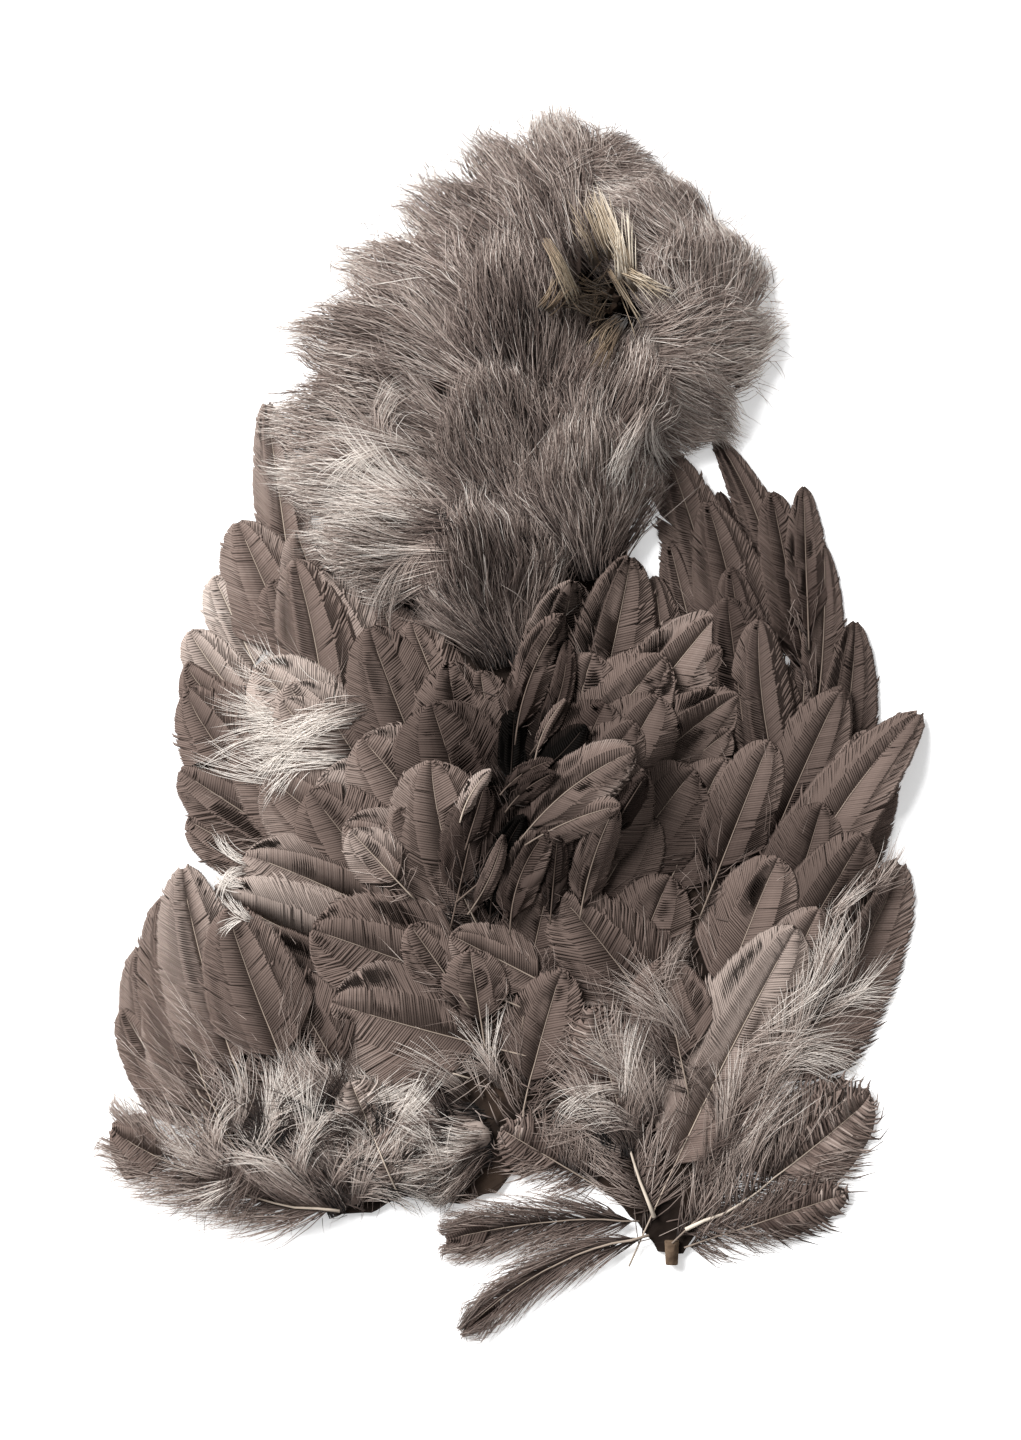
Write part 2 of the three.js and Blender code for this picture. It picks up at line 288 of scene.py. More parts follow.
@dataclass(frozen=True)
class HideFinish:
    """The finish of the dried skin: dark, leathery and grained with pores."""

    name: str
    stops: tuple
    grain: float
    pores: float

    def material(self) -> bpy.types.Material:
        """Makes the hide's material.

        Returns:
            The material, on object coordinates.
        """
        shader = Shader(self.name, 0.7)
        place = shader.add("ShaderNodeTexCoord").outputs["Object"]
        cloud = shader.noise(place, self.grain, 6.0)
        shader.colour(shader.ramp(cloud, self.stops))
        pores = shader.add("ShaderNodeTexVoronoi")
        pores.inputs["Scale"].default_value = self.pores
        shader.links.new(place, pores.inputs["Vector"])
        shader.bump(shader.math("ADD", pores.outputs["Distance"], cloud), 0.6, 0.4)
        rough = shader.spread(cloud, 0.55, 0.85)
        shader.links.new(rough, shader.principled.inputs["Roughness"])
        return shader.material


@dataclass(frozen=True)
class TableFinish:
    """The plain white of the table, lit a little from below as a light table is."""

    name: str
    glow: float

    def material(self) -> bpy.types.Material:
        """Makes the table's material.

        Returns:
            A white with the faintest clouding.
        """
        shader = Shader(self.name, 0.9)
        place = shader.add("ShaderNodeTexCoord").outputs["Object"]
        cloud = shader.noise(place, 6.0, 2.0)
        shader.colour(shader.ramp(cloud, ((0.0, (250, 250, 250)), (1.0, (254, 254, 254)))))
        shader.principled.inputs["Emission Color"].default_value = (1.0, 1.0, 1.0, 1.0)
        shader.principled.inputs["Emission Strength"].default_value = self.glow
        return shader.material


FEATHER_STOPS = (
    (0.0, (10, 8, 7)),
    (0.25, (58, 48, 44)),
    (0.5, (112, 97, 90)),
    (0.75, (176, 161, 152)),
    (1.0, (236, 228, 220)),
)
VANE_FINISH = BarbFinish("vane_barbs", FEATHER_STOPS, 0.55, 0.0, 0.03)
DOWN_FINISH = BarbFinish("down_barbs", FEATHER_STOPS, 0.75, 0.05, 0.04)
HORN_FINISH = BarbFinish(
    "quill_horn",
    ((0.0, (34, 28, 25)), (0.4, (100, 87, 79)), (0.7, (172, 157, 143)), (1.0, (228, 216, 200))),
    0.35,
    0.0,
    0.05,
)
STRAW_FINISH = BarbFinish(
    "straw_quills",
    ((0.0, (46, 37, 30)), (0.45, (118, 100, 82)), (0.8, (184, 166, 142)), (1.0, (228, 216, 198))),
    0.55,
    0.1,
    0.06,
)
TENDON_FINISH = HideFinish(
    "dried_tendon", ((0.25, (58, 47, 38)), (0.5, (96, 80, 66)), (0.75, (132, 114, 96))), 300.0, 900.0
)
HIDE_FINISH = HideFinish(
    "dried_hide", ((0.25, (20, 16, 14)), (0.5, (38, 31, 27)), (0.75, (66, 53, 44))), 90.0, 520.0
)
TABLE_FINISH = TableFinish("white_table", 0.35)


class Wardrobe:
    """Keeps one material for each finish."""

    made: ClassVar[dict[str, bpy.types.Material]] = {}

    @classmethod
    def get(cls, finish: BarbFinish | HideFinish | TableFinish) -> bpy.types.Material:
        """Finds or makes a finish's material.

        Args:
            finish: The finish.

        Returns:
            Its material.
        """
        if finish.name not in cls.made:
            cls.made[finish.name] = finish.material()
        return cls.made[finish.name]


@dataclass(frozen=True)
class TonePlace:
    """A place on the patch where the tone is lifted or lowered: some are paler down, some painted shade in
    the parting's hollow, some just darker plumage.
    """

    x: float
    y: float
    radius: float
    lift: float


# Pale places are paler down. The dark places at (3, -6), (-1, -23) and (-4, -36) are painted shade in the
# parting's hollow; the other dark places are only darker.
TONE_AND_SHADE_PLACES = (
    TonePlace(-44, 48, 16, 0.1),
    TonePlace(-26, 44, 13, 0.08),
    TonePlace(-46, 2, 11, 0.2),
    TonePlace(-62, 20, 9, 0.14),
    TonePlace(-36, -78, 13, 0.22),
    TonePlace(-16, -88, 12, 0.28),
    TonePlace(-8, -76, 8, 0.22),
    TonePlace(-56, -28, 8, 0.16),
    TonePlace(22, 50, 9, 0.18),
    TonePlace(44, 70, 18, 0.13),
    TonePlace(-70, -78, 14, 0.1),
    TonePlace(22, -72, 14, 0.08),
    TonePlace(52, -56, 16, 0.14),
    # painted shade in the parting's hollow, in this and the next two places
    TonePlace(3, -6, 13, -0.28),
    TonePlace(-1, -23, 11, -0.2),
    TonePlace(-4, -36, 9, -0.08),
    TonePlace(48, -28, 15, -0.16),
    TonePlace(20, -54, 12, -0.06),
)


def tone_and_shade_at(places: np.ndarray) -> np.ndarray:
    """Adds up how much paler or darker the plumage is at some places, painted shade in the parting's
    hollow included.

    Args:
        places: Places on the patch, in millimetres, with x and y first in the last axis.

    Returns:
        The lift in tone at each place.
    """
    lift = np.zeros(places.shape[:-1])
    for spot in TONE_AND_SHADE_PLACES:
        far = (places[..., 0] - spot.x) ** 2 + (places[..., 1] - spot.y) ** 2
        lift += spot.lift * np.exp(-far / spot.radius**2)
    return lift


def solid_of(node: bpy.types.Object) -> tuple[np.ndarray, np.ndarray, BVHTree]:
    """Reads a solid's mesh in millimetres.

    Args:
        node: The solid.

    Returns:
        Its vertices, its triangles, and a tree of them for looking from above or below.
    """
    node.data.calc_loop_triangles()
    points = np.array([v.co for v in node.data.vertices]) / MM
    triangles = np.array([t.vertices for t in node.data.loop_triangles])
    return points, triangles, BVHTree.FromPolygons([Vector(p) for p in points], triangles.tolist())


class StrandMesh:
    """Collects thin closed strands and sheets in arrays and makes one mesh of them."""

    BURIED: ClassVar[float] = 3.0

    def __init__(self, cover: Cover | None = None) -> None:
        """Starts with no strands.

        Args:
            cover: The top of the whole patch, well under which no strand is kept.
        """
        self.cover = cover
        self.points: list[np.ndarray] = []
        self.maps: list[np.ndarray] = []
        self.faces: list[np.ndarray] = []
        self.slots: list[np.ndarray] = []
        self.total = 0

    def add(
        self,
        path: np.ndarray,
        width: np.ndarray,
        tone: np.ndarray,
        section: Section,
        slot: int,
        beside: np.ndarray | None = None,
    ) -> None:
        """Adds strands that taper to a point at their last station.

        Args:
            path: Stations of each strand, as (strands, stations, 3) in millimetres.
            width: Width at each station, as (strands, stations).
            tone: Tone at each station, as (strands, stations).
            section: The strands' cross-section.
            slot: Index of their material in the piece.
            beside: The way to the next strand, which strands in a web lie level with.
        """
        if self.cover is not None:
            seen = (path[..., 2] > self.cover.top.under(path) - self.BURIED).any(axis=1)
            path, width, tone = path[seen], width[seen], tone[seen]
            beside = None if beside is None else beside[seen]
        strands, stations = width.shape
        if strands == 0:
            return
        corners = np.array(section.value)
        sides = len(corners)
        along = np.gradient(path, axis=1)
        along /= np.maximum(np.linalg.norm(along, axis=2, keepdims=True), 1e-9)
        sideways = np.cross(along, UP)
        if beside is not None:
            level = beside - along * (beside * along).sum(axis=2, keepdims=True)
            sideways = level * np.sign((level * sideways).sum(axis=2, keepdims=True))
        sideways /= np.maximum(np.linalg.norm(sideways, axis=2, keepdims=True), 1e-9)
        upwards = np.cross(sideways, along)
        body = stations - 1
        offset = sideways[:, :body, None] * corners[:, 0, None]
        offset = offset + upwards[:, :body, None] * corners[:, 1, None]
        rings = path[:, :body, None] + offset * width[:, :body, None, None]
        points = np.concatenate([rings.reshape(strands, -1, 3), path[:, -1:]], axis=1)
        share = np.broadcast_to(np.linspace(0.0, 1.0, stations), (strands, stations))
        flat = np.stack([np.clip(tone, 0.0, 1.0), share], axis=2)
        rows = np.repeat(flat[:, :body], sides, axis=1)
        maps = np.concatenate([rows, flat[:, -1:]], axis=1)
        pattern = self.strand_faces(body, sides)
        start = self.total + np.arange(strands)[:, None, None] * points.shape[1]
        self.points.append(points.reshape(-1, 3))
        self.maps.append(maps.reshape(-1, 2))
        self.faces.append((pattern[None] + start).reshape(-1, 3))
        self.slots.append(np.full(strands * len(pattern), slot, np.int32))
        self.total += strands * points.shape[1]

    @staticmethod
    def strand_faces(body: int, sides: int) -> np.ndarray:
        """Lists the triangles of one strand.

        Args:
            body: How many rings it has before its point.
            sides: Corners of a ring.

        Returns:
            Vertex numbers, as (triangles, 3).
        """
        made = []
        for ring in range(body - 1):
            for k in range(sides):
                a = ring * sides + k
                b = ring * sides + (k + 1) % sides
                made += [(a, a + sides, b + sides), (a, b + sides, b)]
        last = (body - 1) * sides
        made += [(last + k, body * sides, last + (k + 1) % sides) for k in range(sides)]
        made += [(0, k, k + 1) for k in range(1, sides - 1)]
        return np.array(made, np.int64)

    def add_sheet(
        self,
        top: np.ndarray,
        under: np.ndarray,
        tone: np.ndarray,
        slot: int,
        mirrored: bool = False,
    ) -> None:
        """Adds a thin closed sheet between two grids of places.

        Args:
            top: Places of the upper face, as (rows, columns, 3) in millimetres.
            under: Places of the lower face.
            tone: Tone at each place, as (rows, columns).
            slot: Index of its material in the piece.
            mirrored: Whether the columns run to the left of the rows.
        """
        rows, columns = tone.shape
        share = np.broadcast_to(np.linspace(0.0, 1.0, columns), tone.shape)
        flat = np.stack([np.clip(tone, 0.0, 1.0), share], axis=2).reshape(-1, 2)
        faces = self.sheet_faces(rows, columns)
        if mirrored:
            faces = faces[:, ::-1]
        self.points += [top.reshape(-1, 3), under.reshape(-1, 3)]
        self.maps += [flat, flat]
        self.faces.append(faces + self.total)
        self.slots.append(np.full(len(faces), slot, np.int32))
        self.total += 2 * rows * columns

    @staticmethod
    def sheet_faces(rows: int, columns: int) -> np.ndarray:
        """Lists the triangles of a sheet: its upper face, its lower face and its rim.

        Args:
            rows: Rows of its grid.
            columns: Columns of its grid.

        Returns:
            Vertex numbers, as (triangles, 3).
        """
        number = np.arange(rows * columns).reshape(rows, columns)
        a, b = number[:-1, :-1].ravel(), number[:-1, 1:].ravel()
        c, d = number[1:, 1:].ravel(), number[1:, :-1].ravel()
        upper = np.concatenate([np.stack([a, b, c], axis=1), np.stack([a, c, d], axis=1)])
        sides = (number[0, :-1], number[:-1, -1], number[-1, :0:-1], number[:0:-1, 0])
        rim = np.concatenate(sides)
        after = np.roll(rim, -1)
        below = rows * columns
        edge = [np.stack([rim, rim + below, after + below], axis=1)]
        edge.append(np.stack([rim, after + below, after], axis=1))
        return np.concatenate([upper, upper[:, ::-1] + below] + edge)

    def piece(self, name: str, finishes: tuple[BarbFinish, ...], slot: Slot) -> bpy.types.Object:
        """Makes the piece and has it ride with the patch.

        Args:
            name: The piece's name.
            finishes: Finishes of its material slots, in order.
            slot: Not used.

        Returns:
            The new object.
        """
        points = np.concatenate(self.points) * MM
        points[:, 2] = np.maximum(points[:, 2], 0.0)
        faces = np.concatenate(self.faces)
        maps = np.concatenate(self.maps)
        mesh = bpy.data.meshes.new(name)
        mesh.vertices.add(len(points))
        mesh.vertices.foreach_set("co", points.astype(np.float32).ravel())
        mesh.loops.add(faces.size)
        mesh.loops.foreach_set("vertex_index", faces.astype(np.int32).ravel())
        mesh.polygons.add(len(faces))
        mesh.polygons.foreach_set("loop_start", np.arange(0, faces.size, 3, dtype=np.int32))
        mesh.polygons.foreach_set("material_index", np.concatenate(self.slots))
        for title in (BarbFinish.MAP, BarbFinish.BAKE_MAP):
            layer = mesh.uv_layers.new(name=title)
            layer.uv.foreach_set("vector", maps[faces.ravel()].astype(np.float32).ravel())
        mesh.update(calc_edges=True)
        for finish in finishes:
            mesh.materials.append(Wardrobe.get(finish))
        piece = bpy.data.objects.new(name, mesh)
        bpy.context.scene.collection.objects.link(piece)
        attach(piece, BODY)
        LOG.info("%s: %d triangles", name, len(faces))
        return piece


class Ground:
    """The height of what has been laid so far, over a grid of square millimetres."""

    REACH: ClassVar[int] = 150

    def __init__(self) -> None:
        """Starts with a bare table."""
        self.heights = np.zeros((2 * self.REACH, 2 * self.REACH))

    def lay(self, node: bpy.types.Object) -> None:
        """Adds a solid's top to the ground.

        Args:
            node: The solid.
        """
        points, _, tree = solid_of(node)
        low, high = np.floor(points.min(axis=0)), np.ceil(points.max(axis=0))
        for column in range(int(low[0]), int(high[0])):
            for row in range(int(low[1]), int(high[1])):
                start = Vector((column + 0.5, row + 0.5, LOOKOUT))
                hit = tree.ray_cast(start, DOWNWARDS)[0]
                if hit is not None:
                    at = (column + self.REACH, row + self.REACH)
                    self.heights[at] = max(self.heights[at], hit.z)

    def lay_form(self, form: FeatherForm) -> None:
        """Adds the top of a feather that has no solid to the ground.

        Args:
            form: Where the feather lies.
        """
        along = np.linspace(0.25, 1.0, 2 * int(form.length) + 2)
        aside = np.linspace(-1.0, 1.0, 4 * int(form.half.max()) + 5)
        places = form.place(along[:, None], aside, np.ones(1)).reshape(-1, 3)
        cell = np.clip(np.floor(places[:, :2]).astype(int) + self.REACH, 0, 2 * self.REACH - 1)
        np.maximum.at(self.heights, (cell[:, 0], cell[:, 1]), places[:, 2])

    def under(self, places: np.ndarray) -> np.ndarray:
        """Reads the ground's height.

        Args:
            places: Places in millimetres, with x and y first in the last axis.

        Returns:
            The height at each place.
        """
        spot = np.clip(places[..., :2] + self.REACH - 0.5, 0.0, 2 * self.REACH - 1.001)
        cell = spot.astype(int)
        part = spot - cell
        x, y = cell[..., 0], cell[..., 1]
        left = self.heights[x, y] * (1 - part[..., 1]) + self.heights[x, y + 1] * part[..., 1]
        right = self.heights[x + 1, y] * (1 - part[..., 1]) + self.heights[x + 1, y + 1] * part[..., 1]
        return left * (1 - part[..., 0]) + right * part[..., 0]

    def softened(self, passes: int) -> Ground:
        """Makes a smoothed copy of the ground.

        Args:
            passes: How often it is smoothed both ways.

        Returns:
            The copy.
        """
        copy = Ground()
        copy.heights = smoothed(smoothed(self.heights, passes).T, passes).T
        return copy


@dataclass
class Cover:
    """The top of the whole patch, as its solids have it and smoothed as down lies on it."""

    top: Ground
    soft: Ground

    SOFTNESS: ClassVar[int] = 14

    @classmethod
    def of_patch(cls) -> Cover:
        """Lays every solid.

        Returns:
            The cover of them all.
        """
        top = Ground()
        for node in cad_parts.values():
            top.lay(node)
        return cls(top, top.softened(cls.SOFTNESS))


def smoothed(values: np.ndarray, passes: int) -> np.ndarray:
    """Smooths values along their first axis and keeps both ends.

    Args:
        values: The values.
        passes: How often each is set to the mean of itself and its neighbours.

    Returns:
        The smoothed values.
    """
    out = values.copy()
    for _ in range(passes):
        out[1:-1] = (out[:-2] + 2 * out[1:-1] + out[2:]) / 4
    return out


@dataclass
class FeatherForm:
    """Where a feather lies: its midline, half width, and the heights of its top and underside."""

    centre: np.ndarray
    across: np.ndarray
    half: np.ndarray
    top: np.ndarray
    under: np.ndarray

    STATIONS: ClassVar[int] = 33
    COLUMNS: ClassVar[int] = 9
    INNER: ClassVar[float] = 0.94
    COVERT_THICKNESS: ClassVar[float] = 0.5

    @classmethod
    def of_node(cls, node: bpy.types.Object) -> FeatherForm:
        """Reads the form of a feather from its solid.

        Args:
            node: The solid.

        Returns:
            Its form, from root to tip.
        """
        points, triangles, tree = solid_of(node)
        flat = points[:, :2]
        apart = np.linalg.norm(flat[:, None] - flat[None], axis=2)
        one, two = np.unravel_index(np.argmax(apart), apart.shape)
        centre, across, half = cls.slices(flat, triangles, flat[one], flat[two])
        tenth = cls.STATIONS // 10
        if half[tenth] > half[-1 - tenth]:
            centre, across, half = cls.slices(flat, triangles, flat[two], flat[one])
        columns = np.linspace(-cls.INNER, cls.INNER, cls.COLUMNS)
        places = centre[:, None] + across[:, None] * (half[:, None] * columns)[..., None]
        top = cls.heights(tree, places, LOOKOUT)
        under = cls.heights(tree, places, -LOOKOUT)
        return cls(smoothed(centre, 2), across, half, smoothed(top, 4), smoothed(under, 4))

    @classmethod
    def slices(
        cls, flat: np.ndarray, triangles: np.ndarray, root: np.ndarray, tip: np.ndarray
    ) -> tuple[np.ndarray, np.ndarray, np.ndarray]:
        """Cuts a solid's plan across at even steps from root to tip.

        Args:
            flat: The solid's vertices seen from above.
            triangles: Its triangles.
            root: The end that counts as the root.
            tip: The other end.

        Returns:
            The middle of each cut, the direction across, and half the cut's width.
        """
        reach = tip - root
        length = np.linalg.norm(reach)
        ahead = reach / length
        right = np.array([ahead[1], -ahead[0]])
        along = (flat - root) @ ahead
        aside = (flat - root) @ right
        ends = np.concatenate([triangles[:, [0, 1]], triangles[:, [1, 2]], triangles[:, [2, 0]]])
        steps = np.linspace(0.004, 0.996, cls.STATIONS) * length
        middle = np.zeros(cls.STATIONS)
        half = np.zeros(cls.STATIONS)
        for k, step in enumerate(steps):
            a, b = along[ends[:, 0]] - step, along[ends[:, 1]] - step
            cut = (a * b) < 0
            share = a[cut] / (a[cut] - b[cut])
            found = aside[ends[cut, 0]] * (1 - share) + aside[ends[cut, 1]] * share
            middle[k] = (found.max() + found.min()) / 2
            half[k] = (found.max() - found.min()) / 2
        centre = root + steps[:, None] * ahead + middle[:, None] * right
        return centre, np.broadcast_to(right, centre.shape).copy(), half

    @classmethod
    def heights(cls, tree: BVHTree, places: np.ndarray, start: float) -> np.ndarray:
        """Reads a solid's heights from above or from below.

        Args:
            tree: The solid.
            places: Places seen from above, as (stations, columns, 2).
            start: The height to look from.

        Returns:
            The heights, as (stations, columns).
        """
        found = np.full(places.shape[:2], np.nan)
        look = Vector((0, 0, -math.copysign(1, start)))
        for k in np.ndindex(found.shape):
            hit = tree.ray_cast(Vector((places[k][0], places[k][1], start)), look)[0]
            if hit is not None:
                found[k] = hit.z
        for row in found:
            known = ~np.isnan(row)
            row[~known] = row[known].mean() if known.any() else np.nan
        known = ~np.isnan(found[:, 0])
        rows = np.arange(len(found))
        for column in range(found.shape[1]):
            found[:, column] = np.interp(rows, rows[known], found[known, column])
        return found

    @classmethod
    def laid(cls, covert: Covert, ground: Ground) -> FeatherForm:
        """Lays a covert feather on the ground.

        Args:
            covert: The feather.
            ground: What it lies on.

        Returns:
            Its form.
        """
        root, tip = np.array(covert.root, float), np.array(covert.tip, float)
        reach = tip - root
        left = np.array([-reach[1], reach[0]]) / np.linalg.norm(reach)
        share = np.linspace(0.0, 1.0, cls.STATIONS)
        centre = root + share[:, None] * reach + (4 * share * (1 - share) * covert.bend)[:, None] * left
        ahead = np.gradient(centre, axis=0)
        ahead /= np.linalg.norm(ahead, axis=1, keepdims=True)
        across = np.stack([ahead[:, 1], -ahead[:, 0]], axis=1)
        past = np.clip((share - 0.55) / 0.45, 0.0, 0.999)
        half = np.maximum(0.5, covert.width / 2 * ease(share, 0.0, 0.36) * np.sqrt(1 - past**2.4))
        columns = np.linspace(-cls.INNER, cls.INNER, cls.COLUMNS)
        places = centre[:, None] + across[:, None] * (half[:, None] * columns)[..., None]
        lowest = ground.under(places)
        for _ in range(2):
            lowest[1:-1] = np.maximum(lowest[1:-1], (lowest[:-2] + lowest[2:]) / 2)
        under = smoothed(lowest, 6) + covert.lift
        return cls(centre, across, half, under + cls.COVERT_THICKNESS, under)

    @property
    def length(self) -> float:
        """The length of the midline in millimetres."""
        return float(np.linalg.norm(np.diff(self.centre, axis=0), axis=1).sum())

    def sharpen(self, point: float) -> None:
        """Draws the feather's end in to a point.

        Args:
            point: Share of the width that is taken off towards the tip.
        """
        share = np.linspace(0.0, 1.0, self.STATIONS)
        self.half = self.half * (1 - point * ease(share, 0.5, 1.0))

    def place(self, along: np.ndarray, aside: np.ndarray, depth: np.ndarray) -> np.ndarray:
        """Finds places in the feather.

        Args:
            along: Share of the length from root to tip.
            aside: Share of the half width, negative to the left.
            depth: Share of the thickness from the underside to the top.

        Returns:
            The places in millimetres, with a last axis of three.
        """
        along, aside, depth = np.broadcast_arrays(along, aside, depth)
        step = np.clip(along, 0.0, 1.0) * (self.STATIONS - 1)
        row = np.minimum(step.astype(int), self.STATIONS - 2)
        part = (step - row)[..., None]
        centre = self.centre[row] * (1 - part) + self.centre[row + 1] * part
        across = self.across[row] * (1 - part) + self.across[row + 1] * part
        half = self.half[row] * (1 - part[..., 0]) + self.half[row + 1] * part[..., 0]
        beyond = (np.maximum(along - 1.0, 0.0) * self.length)[..., None]
        ahead = np.stack([-across[..., 1], across[..., 0]], axis=-1)
        flat = centre + across * (half * aside)[..., None] + ahead * beyond
        span = (np.clip(aside, -1.0, 1.0) + 1) / 2 * (self.COLUMNS - 1)
        column = np.minimum(span.astype(int), self.COLUMNS - 2)
        share = span - column
        top = self.between(self.top, row, part[..., 0], column, share)
        under = self.between(self.under, row, part[..., 0], column, share)
        height = under + (top - under) * depth
        return np.concatenate([flat, height[..., None]], axis=-1)

    @staticmethod
    def between(
        grid: np.ndarray, row: np.ndarray, part: np.ndarray, column: np.ndarray, share: np.ndarray
    ) -> np.ndarray:
        """Reads a grid between its points.

        Args:
            grid: Values by station and column.
            row: The station before each place.
            part: Share of the way to the next station.
            column: The column before each place.
            share: Share of the way to the next column.

        Returns:
            The values.
        """
        near = grid[row, column] * (1 - share) + grid[row, column + 1] * share
        far = grid[row + 1, column] * (1 - share) + grid[row + 1, column + 1] * share
        return near * (1 - part) + far * part


@dataclass
class Feather:
    """How one feather is made up, whatever its form."""

    tone: float = 0.47
    vane_from: float = 0.3
    barb_spacing: float = 0.5
    barb_sweep: float = 1.2
    arch: float = 0.6
    tip_lift: float = 0.3
    down_count: int = 24
    down_sweep: tuple[float, float] = (0.1, 0.34)
    splits: int = 2
    split: float = 0.012
    quill_shows: float = 0.0
    point: float = 0.0
    # painted shade: the vane darker towards its base, where the overlying feathers cover it
    base_shade: float = -0.1
    # painted light: the vane paler towards its margins, where light shines through the thin edge
    margin: float = 0.05
    frayed: float = 0.0

    EVEN: ClassVar[float] = 0.65
    WEB_STEP: ClassVar[float] = 2.6
    WEB_THICKNESS: ClassVar[float] = 0.16
    WEB_DEPTH: ClassVar[float] = 0.24
    BARB_AT: ClassVar[tuple] = (0.0, 0.45, 0.9, 1.0)
    FRAYED_AT: ClassVar[tuple] = (0.0, 0.35, 0.7, 1.0)
    DOWN_STATIONS: ClassVar[int] = 4
    SHAFT_STATIONS: ClassVar[int] = 12
    FINISHES: ClassVar[tuple] = (VANE_FINISH, HORN_FINISH, DOWN_FINISH)

    def grow(self, form: FeatherForm, mesh: StrandMesh, rng: np.random.Generator) -> None:
        """Grows the whole feather.

        Args:
            form: Where it lies.
            mesh: The mesh that takes its strands.
            rng: The feather's own random numbers.
        """
        middle = form.place(np.array([0.7]), np.zeros(1), np.ones(1))
        own = self.tone + rng.normal(0.0, 0.045) + self.EVEN * tone_and_shade_at(middle)[0]
        form.sharpen(max(0.0, self.point + rng.normal(0.0, 0.08)))
        self.shaft(form, mesh, own)
        for side in (-1.0, 1.0):
            first = min(self.vane_from + 0.12, 0.86)
            cuts = np.sort(rng.uniform(first, 0.87, rng.integers(0, self.splits + 1)))
            ends = [self.vane_from, *cuts, 0.985]
            for low, high in zip(ends, ends[1:]):
                self.web(form, mesh, rng, side, own, (low, high))
        self.down(form, mesh, rng, own)

    def shaft(self, form: FeatherForm, mesh: StrandMesh, own: float) -> None:
        """Adds the shaft, thick and pale at a quill that shows, and hair-thin at the tip.

        Args:
            form: Where the feather lies.
            mesh: The mesh that takes it.
            own: The feather's own tone.
        """
        share = np.linspace(0.0, 0.97, self.SHAFT_STATIONS)
        path = form.place(share, np.zeros_like(share), np.full_like(share, 0.5))
        path[..., 2] += self.arch + self.tip_lift * ease(share, 0.5, 1.0)
        width = 0.12 + 0.28 * (1 - share) + 0.8 * self.quill_shows * (1 - share) ** 3
        pale = 0.1 + 0.4 * self.quill_shows * (1 - share) ** 1.5
        tone = own + pale + (1 - self.EVEN) * tone_and_shade_at(path)
        mesh.add(path[None], width[None], tone[None], Section.ROUND, 1)

    def barbs(
        self, form: FeatherForm, side: float, start: np.ndarray, q: np.ndarray, leave: tuple[float, float]
    ) -> np.ndarray:
        """Works out the way of some barbs from the shaft to the vane's margin.

        Args:
            form: Where the feather lies.
            side: -1 for the left vane, 1 for the right.
            start: Where each barb leaves the shaft.
            q: Stations along the barb, with the margin at 1.
            leave: How far the barbs' ends are shifted along the feather, and how far they are raised.

        Returns:
            The stations, as (barbs, stations, 3).
        """
        run = self.barb_sweep * form.half.max() / form.length
        end = start + run * (1 - start) / ((1 - start) + run)
        end = end + leave[0] * ease(1 - start, 0.0, 0.2)
        along = start[:, None] + (end - start)[:, None] * q**1.5
        path = form.place(along, side * q, 0.5 + leave[1] * q)
        path[..., 2] += self.arch * (1 - q**2) - 0.35 * q**4
        path[..., 2] += self.tip_lift * ease(along, 0.5, 1.0)
        return path

    def web(
        self,
        form: FeatherForm,
        mesh: StrandMesh,
        rng: np.random.Generator,
        side: float,
        own: float,
        ends: tuple[float, float],
    ) -> None:
        """Adds one stretch of zipped vane: a thin web, and the barbs that show on it.

        Args:
            form: Where the feather lies.
            mesh: The mesh that takes it.
            rng: The feather's own random numbers.
            side: -1 for the left vane, 1 for the right.
            own: The feather's own tone.
            ends: Where the stretch begins and ends along the shaft.
        """
        low, high = ends
        leave = (rng.normal(0.0, self.split), rng.normal(0.0, 0.25))
        own = own + rng.normal(0.0, 0.012)
        rows = max(3, int(form.length * (high - low) / self.WEB_STEP))
        start = np.linspace(low, high, rows)
        q = np.array(self.BARB_AT) * (1 - self.frayed) + np.array(self.FRAYED_AT) * self.frayed
        across = q[:-1]
        top = self.barbs(form, side, start, across, leave) - UP * self.WEB_DEPTH
        tone = own + self.fade(start, across) + (1 - self.EVEN) * tone_and_shade_at(top)
        mesh.add_sheet(top, top - UP * self.WEB_THICKNESS, tone, 0, side < 0)
        count = max(3, int(form.length * (high - low) / self.barb_spacing))
        start = np.linspace(low, high, count) + rng.normal(0.0, 0.0006, count)
        loose = rng.random(count)
        reach = 1.0 + rng.normal(0.0, 0.015, count) + 0.14 * (loose > 0.96) - 0.1 * (loose < 0.03)
        reach = reach + self.frayed * rng.normal(0.0, 0.12, count)
        path = self.barbs(form, side, start, q[None] * reach[:, None], leave)
        even = self.barbs(form, side, np.linspace(low, high, count), q, leave)
        astray = rng.normal(0.0, 1.1, (count, 1, 2)) * self.frayed
        path[..., :2] += astray * (q**2)[:, None]
        pitch = form.length * (high - low) / count
        thin = (0.3 + 0.5 * self.frayed) * ease(q, 0.6 - 0.3 * self.frayed, 1.0)
        width = np.broadcast_to(pitch * 1.35 * (1 - thin), path.shape[:2])
        shade = rng.normal(0.0, 0.011, (count, 1)) + (1 - self.EVEN) * tone_and_shade_at(path)
        shade = shade + self.frayed * rng.normal(0.0, 0.08, (count, 1))
        tone = own + self.fade(start, q) + shade
        mesh.add(path, width, tone, Section.LEAF, 0, np.gradient(even, axis=0))

    def fade(self, start: np.ndarray, q: np.ndarray) -> np.ndarray:
        """Works out how a vane's tone changes from its shaft to its margin and from base to tip: painted
        shade at the base, where overlying feathers cover it, and painted light at the margin.

        Args:
            start: Where each barb leaves the shaft.
            q: Stations along the barb.

        Returns:
            The change of tone, as (barbs, stations).
        """
